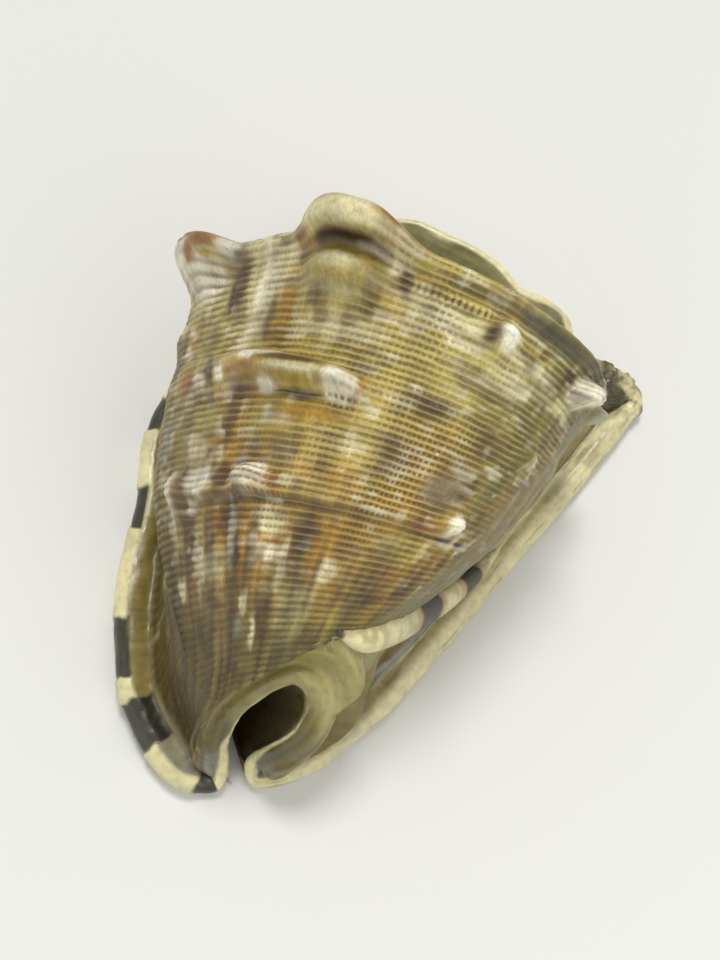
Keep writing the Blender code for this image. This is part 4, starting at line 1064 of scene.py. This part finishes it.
def colour_property(name, code, description):
    """A colour that the user may change, given as sRGB hex and kept linear."""
    return FloatVectorProperty(name=name, description=description, default=tuple(linear(code)),
                               subtype="COLOR", min=0.0, max=1.0)


class ShellColours(bpy.types.PropertyGroup):
    """Tints of the shell."""
    chalk: colour_property("Chalk", "#ebe5cc", "Worn white tops of the knobs")
    cream: colour_property("Cream", "#cfc697", "Rim and pale cords")
    bone: colour_property("Bone", "#b9ae80", "Pale blotches of the left side")
    sand: colour_property("Sand", "#a39853", "Dull pale ground")
    dust: colour_property("Dust", "#7d6f3b", "Dull ground near the canal")
    straw: colour_property("Straw", "#ad9a4a", "Yellow ground on top")
    ochre: colour_property("Ochre", "#9a741d", "Warm bands along the ridges")
    gold: colour_property("Gold", "#99761f", "Deep yellow bands")
    moss: colour_property("Moss", "#79702c", "Green-yellow ground of the right side")
    olive: colour_property("Olive", "#5f5422", "Dark ground beside the canal")
    lichen: colour_property("Lichen", "#87815a", "Callus over the ribs")
    loam: colour_property("Loam", "#777248", "Rear sheet")
    moor: colour_property("Moor", "#4c472a", "Deep shade of the rear sheet and the canal")
    slate: colour_property("Slate", "#8b8c80", "Cool grey of the flank and the lip strip")
    mauve: colour_property("Mauve", "#7b6844", "Faded violet-brown patches")
    rust: colour_property("Rust", "#94601a", "Orange-brown patches")
    brown: colour_property("Brown", "#4f350c", "Brown patches")
    # Umber serves both real dark lines and painted shade in hollows and creases.
    umber: colour_property("Umber", "#331e05", "Darkest lines and hollows")
    ink: colour_property("Ink", "#1f2018", "Dark bars of the lip")
    ivory: colour_property("Ivory", "#ece2c6", "Teeth and folds of the underside")
    salmon: colour_property("Salmon", "#dcae84", "Glossy underside")
    chestnut: colour_property("Chestnut", "#5a2f18", "Between the teeth of the underside")
    floor: colour_property("Floor", "#d6d6d2", "Plain floor")


class ShellShape(bpy.types.PropertyGroup):
    """Sizes of the fine relief."""
    cord_depth: FloatProperty(name="Cord depth", default=0.00028, unit="LENGTH", precision=5,
                              description="Depth of the grooves between the spiral cords")
    thread_depth: FloatProperty(name="Thread depth", default=0.00010, unit="LENGTH", precision=5,
                                description="Depth of the gaps between the growth threads")
    growth_waves: FloatProperty(name="Growth waves", default=0.00038, unit="LENGTH", precision=5,
                                description="Height of the long waves left by growth")
    bar_rise: FloatProperty(name="Bar rise", default=0.00030, unit="LENGTH", precision=5,
                            description="How far the pale bars of the lip stand proud")


def palette_of(context):
    """The tints by name, as arrays."""
    colours = context.scene.shell_colours
    return {name: np.array(getattr(colours, name)) for name in ShellColours.__annotations__}


def mesh_object(name, points, wrap=False, wrap_sides=False):
    """Object of a grid of points (mm), with four-sided faces and smooth shading; the
    grid can close on itself along its rows, its columns or both."""
    rows, columns, _ = points.shape
    index = np.arange(rows * columns).reshape(rows, columns)
    if wrap:
        index = np.vstack([index, index[:1]])
    if wrap_sides:
        index = np.hstack([index, index[:, :1]])
    faces = np.stack([index[:-1, :-1], index[1:, :-1], index[1:, 1:], index[:-1, 1:]], -1)
    faces = faces.reshape(-1, 4)
    mesh = bpy.data.meshes.new(name)
    mesh.vertices.add(rows * columns)
    mesh.vertices.foreach_set("co", ((points + ORIGIN_SHIFT) * FIT * MILLIMETRE).ravel())
    mesh.loops.add(faces.size)
    mesh.loops.foreach_set("vertex_index", faces.ravel())
    mesh.polygons.add(len(faces))
    mesh.polygons.foreach_set("loop_start", np.arange(0, faces.size, 4))
    mesh.polygons.foreach_set("use_smooth", np.ones(len(faces), bool))
    mesh.update(calc_edges=True)
    item = bpy.data.objects.new(name, mesh)
    bpy.context.scene.collection.objects.link(item)
    return item


def add_uv(item, across, along):
    """UV map named Growth: threads or millimetres across, cords or millimetres along."""
    layer = item.data.uv_layers.new(name="Growth")
    corner = np.empty(len(item.data.loops), int)
    item.data.loops.foreach_get("vertex_index", corner)
    layer.data.foreach_set("uv", np.stack([np.ravel(across), np.ravel(along)], -1)[corner].ravel())


def add_colour(item, colour):
    """Colour attribute named ground from linear colours at the vertices."""
    layers = item.data.color_attributes
    layer = layers.get("ground") or layers.new("ground", "FLOAT_COLOR", "POINT")
    values = np.ones((len(item.data.vertices), 4))
    values[:, :3] = np.clip(np.reshape(colour, (-1, 3)), 0, 1)
    layer.data.foreach_set("color", values.ravel())


def add_value(item, name, value):
    """Number attribute at the vertices."""
    layers = item.data.attributes
    layer = layers.get(name) or layers.new(name, "FLOAT", "POINT")
    layer.data.foreach_set("value", np.ravel(value).astype(float))


def merge_pole(item, turn=True):
    """Merges points that meet, lets the faces that vanish go, and can turn the rest outwards."""
    mesh = bmesh.new()
    mesh.from_mesh(item.data)
    bmesh.ops.remove_doubles(mesh, verts=mesh.verts, dist=1e-7)
    if turn:
        bmesh.ops.recalc_face_normals(mesh, faces=mesh.faces)
    mesh.to_mesh(item.data)
    mesh.free()


def node(tree, kind, settings=(), sockets=()):
    """Add a node and give back its outputs. Settings are its properties; each socket gets
    a value, or a link when an output of another node is given for it."""
    made = tree.nodes.new(kind)
    for key, value in dict(settings).items():
        setattr(made, key, value)
    for key, value in dict(sockets).items():
        if isinstance(value, bpy.types.NodeSocket):
            tree.links.new(value, made.inputs[key])
        else:
            made.inputs[key].default_value = value
    return made.outputs


def new_material(name):
    """A node material with nothing in it yet, and its node tree."""
    material = bpy.data.materials.new(name)
    material.use_nodes = True
    material.node_tree.nodes.clear()
    return material, material.node_tree


def shade(tree, sockets):
    """The material's shader with its sockets, and its output."""
    shader = node(tree, "ShaderNodeBsdfPrincipled", sockets=sockets)
    node(tree, "ShaderNodeOutputMaterial", sockets={"Surface": shader["BSDF"]})


def ribbed_aragonite():
    """Aragonite laid down rib by rib, dull and satin: cords in the ground colour with a painted
    highlight on their crests, and grooves darkened with brown painted shade that the growth threads
    break into dots."""
    material, tree = new_material("ribbed_aragonite")
    ground, strength, weave = (
        node(tree, "ShaderNodeAttribute", {"attribute_name": name})
        for name in ("ground", "groove", "weave"))
    place = node(tree, "ShaderNodeUVMap", {"uv_map": "Growth"})["UV"]
    # The UV map counts threads and cords, so a scale of 1 is one of them, about 1.7 mm.
    wander = node(tree, "ShaderNodeTexNoise", {"noise_dimensions": "2D"},
                  {"Vector": place, "Scale": 0.5, "Detail": 2.0})
    moved = node(tree, "ShaderNodeVectorMath", {"operation": "MULTIPLY_ADD"},
                 {0: wander["Color"], 1: (0.5, 0.22, 0.0), 2: place})
    centred = node(tree, "ShaderNodeVectorMath", {"operation": "SUBTRACT"},
                   {0: moved["Vector"], 1: (0.25, 0.11, 0.0)})
    counts = node(tree, "ShaderNodeSeparateXYZ", sockets={"Vector": centred["Vector"]})
    # From 0 in the middle of a gap or groove to 0.5 on the thread or cord beside it.
    thread, cord = (
        node(tree, "ShaderNodeMath", {"operation": "PINGPONG"}, {0: counts[axis], 1: 0.5})[0]
        for axis in ("X", "Y"))
    grain = node(tree, "ShaderNodeTexNoise", {"noise_dimensions": "2D"},
                 {"Vector": place, "Scale": 1.7, "Detail": 4.0, "Roughness": 0.65})["Fac"]
    width = node(tree, "ShaderNodeMapRange", sockets={
        "Value": grain, "From Min": 0.3, "From Max": 0.7, "To Min": 0.24, "To Max": 0.50})
    groove = node(tree, "ShaderNodeMapRange", {"interpolation_type": "SMOOTHSTEP"}, {
        "Value": cord, "From Min": 0.03, "From Max": width["Result"],
        "To Min": 1.0, "To Max": 0.0})
    crossing = node(tree, "ShaderNodeMapRange", {"interpolation_type": "SMOOTHSTEP"}, {
        "Value": thread, "From Min": 0.02, "From Max": 0.30, "To Min": 1.0, "To Max": 0.0})
    kept = node(tree, "ShaderNodeMath", {"operation": "MULTIPLY"},
                {0: crossing["Result"], 1: weave["Fac"]})
    broken = node(tree, "ShaderNodeMath", {"operation": "SUBTRACT"}, {0: 1.0, 1: kept[0]})
    dots = node(tree, "ShaderNodeMath", {"operation": "MULTIPLY"},
                {0: groove["Result"], 1: broken[0]})
    dark = node(tree, "ShaderNodeMath", {"operation": "MULTIPLY", "use_clamp": True},
                {0: dots[0], 1: strength["Fac"]})[0]

    # Sockets 0, 6 and 7 of a colour mix are its factor and its two colours.
    light = node(tree, "ShaderNodeMapRange", sockets={
        "Value": grain, "From Min": 0.25, "From Max": 0.75, "To Min": 0.64, "To Max": 1.14})
    grained = node(tree, "ShaderNodeMix", {"data_type": "RGBA", "blend_type": "MULTIPLY"},
                   {0: 1.0, 6: ground["Color"], 7: light["Result"]})
    # Painted highlight on the crests of the cords, where the weave allows it.
    crest_highlight = node(tree, "ShaderNodeMapRange", {"interpolation_type": "SMOOTHSTEP"}, {
        "Value": cord, "From Min": 0.25, "From Max": 0.5, "To Min": 0.0, "To Max": 0.42})
    bare = node(tree, "ShaderNodeMath", {"operation": "MULTIPLY"},
                {0: crest_highlight["Result"], 1: weave["Fac"]})
    highlighted = node(tree, "ShaderNodeMix", {"data_type": "RGBA"},
                   {0: bare[0], 6: grained[2], 7: (*linear(CREST_HIGHLIGHT), 1)})
    # The grooves get a brown painted shade, also where the crests carry their painted highlight.
    skin = node(tree, "ShaderNodeMix", {"data_type": "RGBA", "blend_type": "MULTIPLY"},
                {0: 1.0, 6: ground["Color"], 7: (0.62, 0.55, 0.42, 1)})
    groove_shade = node(tree, "ShaderNodeMix", {"data_type": "RGBA"},
                   {0: 0.62, 6: skin[2], 7: (*linear(GROOVE_SHADE), 1)})
    grooved = node(tree, "ShaderNodeMix", {"data_type": "RGBA"},
                   {0: dark, 6: highlighted[2], 7: groove_shade[2]})

    worn = node(tree, "ShaderNodeMapRange", sockets={
        "Value": grain, "From Min": 0.3, "From Max": 0.7, "To Min": 0.36, "To Max": 0.56})
    height = node(tree, "ShaderNodeMath", {"operation": "MULTIPLY_ADD"},
                  {0: dark, 1: -1.0, 2: grain})
    bump = node(tree, "ShaderNodeBump", {},
                {"Strength": 0.6, "Distance": 0.00018, "Height": height[0]})
    shade(tree, {"Base Color": grooved[2], "Roughness": worn["Result"],
                 "Normal": bump["Normal"], "IOR": SHELL_IOR})
    return material


def polished_callus():
    """Callus laid on in thin coats, as smooth as glazed china: glossy, with faint clouds
    and tiny pits under the polish."""
    material, tree = new_material("polished_callus")
    ground = node(tree, "ShaderNodeAttribute", {"attribute_name": "ground"})
    place = node(tree, "ShaderNodeTexCoord")["Object"]
    # Object coordinates are metres: 400 gives clouds of 2.5 mm, 2600 pits of 0.4 mm.
    clouds = node(tree, "ShaderNodeTexNoise", {},
                  {"Vector": place, "Scale": 400.0, "Detail": 3.0})["Fac"]
    pits = node(tree, "ShaderNodeTexNoise", {},
                {"Vector": place, "Scale": 2600.0, "Detail": 2.0})["Fac"]
    light, worn = (
        node(tree, "ShaderNodeMapRange", {}, {
            "Value": clouds, "From Min": 0.3, "From Max": 0.7, "To Min": low, "To Max": high})
        for low, high in ((0.86, 1.1), (0.24, 0.44)))
    clouded = node(tree, "ShaderNodeMix", {"data_type": "RGBA", "blend_type": "MULTIPLY"},
                   {0: 1.0, 6: ground["Color"], 7: light["Result"]})
    height = node(tree, "ShaderNodeMath", {"operation": "MULTIPLY_ADD"},
                  {0: clouds, 1: 2.0, 2: pits})
    bump = node(tree, "ShaderNodeBump", {},
                {"Strength": 0.35, "Distance": 0.00012, "Height": height[0]})
    shade(tree, {"Base Color": clouded[2], "Roughness": worn["Result"],
                 "Normal": bump["Normal"], "IOR": SHELL_IOR})
    return material


def matt_paper(colour):
    """Seamless studio paper, pressed smooth: matt and even, with a faint fibre."""
    material, tree = new_material("matt_paper")
    place = node(tree, "ShaderNodeTexCoord")["Object"]
    # Object coordinates are metres: 900 gives fibres of about 1 mm.
    fibre = node(tree, "ShaderNodeTexNoise", {},
                 {"Vector": place, "Scale": 900.0, "Detail": 2.0})
    bump = node(tree, "ShaderNodeBump", {},
                {"Strength": 0.1, "Distance": 0.0001, "Height": fibre["Fac"]})
    shade(tree, {"Base Color": (*colour, 1), "Roughness": 0.9, "Normal": bump["Normal"]})
    return material


def material_once(name, maker):
    """The material of this name, made when the first piece asks for it."""
    return bpy.data.materials.get(name) or maker()


def finish_piece(item, material):
    """Material, place in the frame and slot of a finished piece of the shell."""
    item.data.materials.append(material)
    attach(item, "root")


def paint_ribs(item, angle, place, palette):
    """Ground colour, UV map and groove strength of a ribbed piece."""
    add_uv(item, thread_phase(angle, place), place / CORD_PITCH)
    add_colour(item, body_colour(angle, place, palette))
    bare = (1 - 0.6 * callus_cover(angle, place)) * (1 - 0.4 * smooth(1.0, 1.3, place))
    depth = bare * np.interp(angle, GROOVE_ANGLE, GROOVE_STRENGTH) * (1 - worn_share(angle, place))
    add_value(item, "groove", depth * (0.05 + 1.25 * rough(angle / 7, place * 5, 81)))
    weave = np.interp(angle, WEAVE_ANGLE, WEAVE_STRENGTH) * (1 - worn_share(angle, place))
    weave = weave * (0.25 + 1.1 * rough(angle / 6, place * 7, 82)) * smooth(1.7, 0.7, place)
    add_value(item, "weave", weave * (1 - callus_cover(angle, place)))


class SHELL_OT_body(bpy.types.Operator):
    """Build the last whorl with its knobs, cords and colours"""
    bl_idname = "shell.body"
    bl_label = "Body Whorl"

    def execute(self, context):
        palette, shape = palette_of(context), context.scene.shell_shape
        material = material_once("ribbed_aragonite", ribbed_aragonite)
        for panel in PANELS:
            points, angle, place = panel_surface(panel, shape)
            item = mesh_object(panel[0], points)
            paint_ribs(item, angle, place, palette)
            finish_piece(item, material)
            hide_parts("shell")
        return {"FINISHED"}


class SHELL_OT_spire(bpy.types.Operator):
    """Build the earlier whorls behind the shoulder"""
    bl_idname = "shell.spire"
    bl_label = "Spire"

    def execute(self, context):
        points, angle, place = spire_surface(context.scene.shell_shape)
        item = mesh_object("spire", points)
        # The early whorls take their tints from both flanks of the last one in turn.
        borrowed = 25 + 60 * np.sin(np.radians(angle * 1.3))
        paint_ribs(item, borrowed, place + 0.3, palette_of(context))
        merge_pole(item)
        finish_piece(item, material_once("ribbed_aragonite", ribbed_aragonite))
        return {"FINISHED"}


class SHELL_OT_margin(bpy.types.Operator):
    """Build the lip, the rear sheet, the shield, the canal and the underside"""
    bl_idname = "shell.margin"
    bl_label = "Lip, Shield and Canal"

    def execute(self, context):
        palette = palette_of(context)
        points, line = margin_surface()
        at, across = margin_relief(points, line, context.scene.shell_shape)
        item = mesh_object("lip_and_shield", points, wrap=True)
        angle, place, ribs = ribbed_part(line, at, across)
        paint_ribs(item, angle, place, palette)
        colour = margin_colour(at, across, points, palette)
        add_colour(item, mix(colour, body_colour(angle, place, palette), ribs))
        add_value(item, "groove", 0.5 * ribs)
        finish_piece(item, material_once("polished_callus", polished_callus))
        item.data.materials.append(material_once("ribbed_aragonite", ribbed_aragonite))
        # Slot 0 is the polished callus; faces that carry ribs take slot 1.
        ribbed = (ribs[:, :-1] + np.roll(ribs, -1, 0)[:, 1:]) > 0.3
        item.data.polygons.foreach_set("material_index", ribbed.ravel().astype(int))
        merge_pole(item, turn=False)
        return {"FINISHED"}


class SHELL_OT_varix(bpy.types.Operator):
    """Build the barred bead left by an older lip beside the shield"""
    bl_idname = "shell.varix"
    bl_label = "Old Varix"

    def execute(self, context):
        points = varix_surface()
        item = mesh_object("old_varix", points, wrap_sides=True)
        share = np.linspace(0, 1, VARIX_STEPS)[:, None] + np.zeros(VARIX_SIDES)
        add_colour(item, varix_colour(share, palette_of(context)))
        merge_pole(item)
        finish_piece(item, material_once("polished_callus", polished_callus))
        return {"FINISHED"}


class SHELL_OT_stage(bpy.types.Operator):
    """Build the floor, the soft lamps and the camera at the viewing angle"""
    bl_idname = "shell.stage"
    bl_label = "Stage"

    def execute(self, context):
        scene = context.scene
        mesh = bpy.data.meshes.new("floor")
        corners = ((-1, -1), (1, -1), (1, 1), (-1, 1))
        mesh.from_pydata([(x * FLOOR_HALF, y * FLOOR_HALF, 0) for x, y in corners],
                         [], [(0, 1, 2, 3)])
        floor = bpy.data.objects.new("floor", mesh)
        scene.collection.objects.link(floor)
        mesh.materials.append(matt_paper(scene.shell_colours.floor))

        world = bpy.data.worlds.new("studio")
        world.use_nodes = True
        sky = world.node_tree.nodes["Background"]
        sky.inputs["Color"].default_value = SKY_COLOUR
        sky.inputs["Strength"].default_value = SKY_STRENGTH
        scene.world = world
        for name, kind, place, size, power in LAMPS:
            light = bpy.data.lights.new(name, kind)
            light.energy = power
            if kind == "SUN":
                light.angle = math.radians(size)
            else:
                light.size = size
            lamp = bpy.data.objects.new(name, light)
            lamp.location = place
            lamp.rotation_euler = Vector(place).to_track_quat("Z", "Y").to_euler()
            scene.collection.objects.link(lamp)

        camera = bpy.data.cameras.new("camera")
        camera.lens = CAMERA_LENS
        camera.sensor_width = SENSOR_WIDTH
        camera.clip_start = 0.01
        eye = bpy.data.objects.new("camera", camera)
        pose = np.eye(4)
        pose[:3, 0], pose[:3, 1], pose[:3, 2] = CAMERA_RIGHT, CAMERA_UP, -np.array(CAMERA_AHEAD)
        pose[:3, 3] = (np.array(CAMERA_PLACE) + ORIGIN_SHIFT) * MILLIMETRE
        eye.matrix_world = Matrix(pose.tolist())
        scene.collection.objects.link(eye)
        scene.camera = eye
        scene.view_settings.view_transform = "Standard"
        return {"FINISHED"}


class SHELL_PT_panel(bpy.types.Panel):
    """Tab of the sidebar with one button for each piece"""
    bl_label = "Helmet Shell"
    bl_space_type = "VIEW_3D"
    bl_region_type = "UI"
    bl_category = "Shell"

    def draw(self, context):
        for operator in OPERATORS:
            self.layout.operator(operator.bl_idname)
        for group in (context.scene.shell_shape, context.scene.shell_colours):
            for name in type(group).__annotations__:
                self.layout.prop(group, name)


OPERATORS = (SHELL_OT_stage, SHELL_OT_body, SHELL_OT_spire, SHELL_OT_margin, SHELL_OT_varix)
CLASSES = (ShellShape, ShellColours, *OPERATORS, SHELL_PT_panel)


def register():
    for cls in CLASSES:
        bpy.utils.register_class(cls)
    bpy.types.Scene.shell_shape = PointerProperty(type=ShellShape)
    bpy.types.Scene.shell_colours = PointerProperty(type=ShellColours)


def unregister():
    del bpy.types.Scene.shell_colours
    del bpy.types.Scene.shell_shape
    for cls in reversed(CLASSES):
        bpy.utils.unregister_class(cls)


def main():
    register()
    bpy.ops.shell.stage()
    bpy.ops.shell.body()
    bpy.ops.shell.spire()
    bpy.ops.shell.margin()
    bpy.ops.shell.varix()


if __name__ == "__main__":
    main()
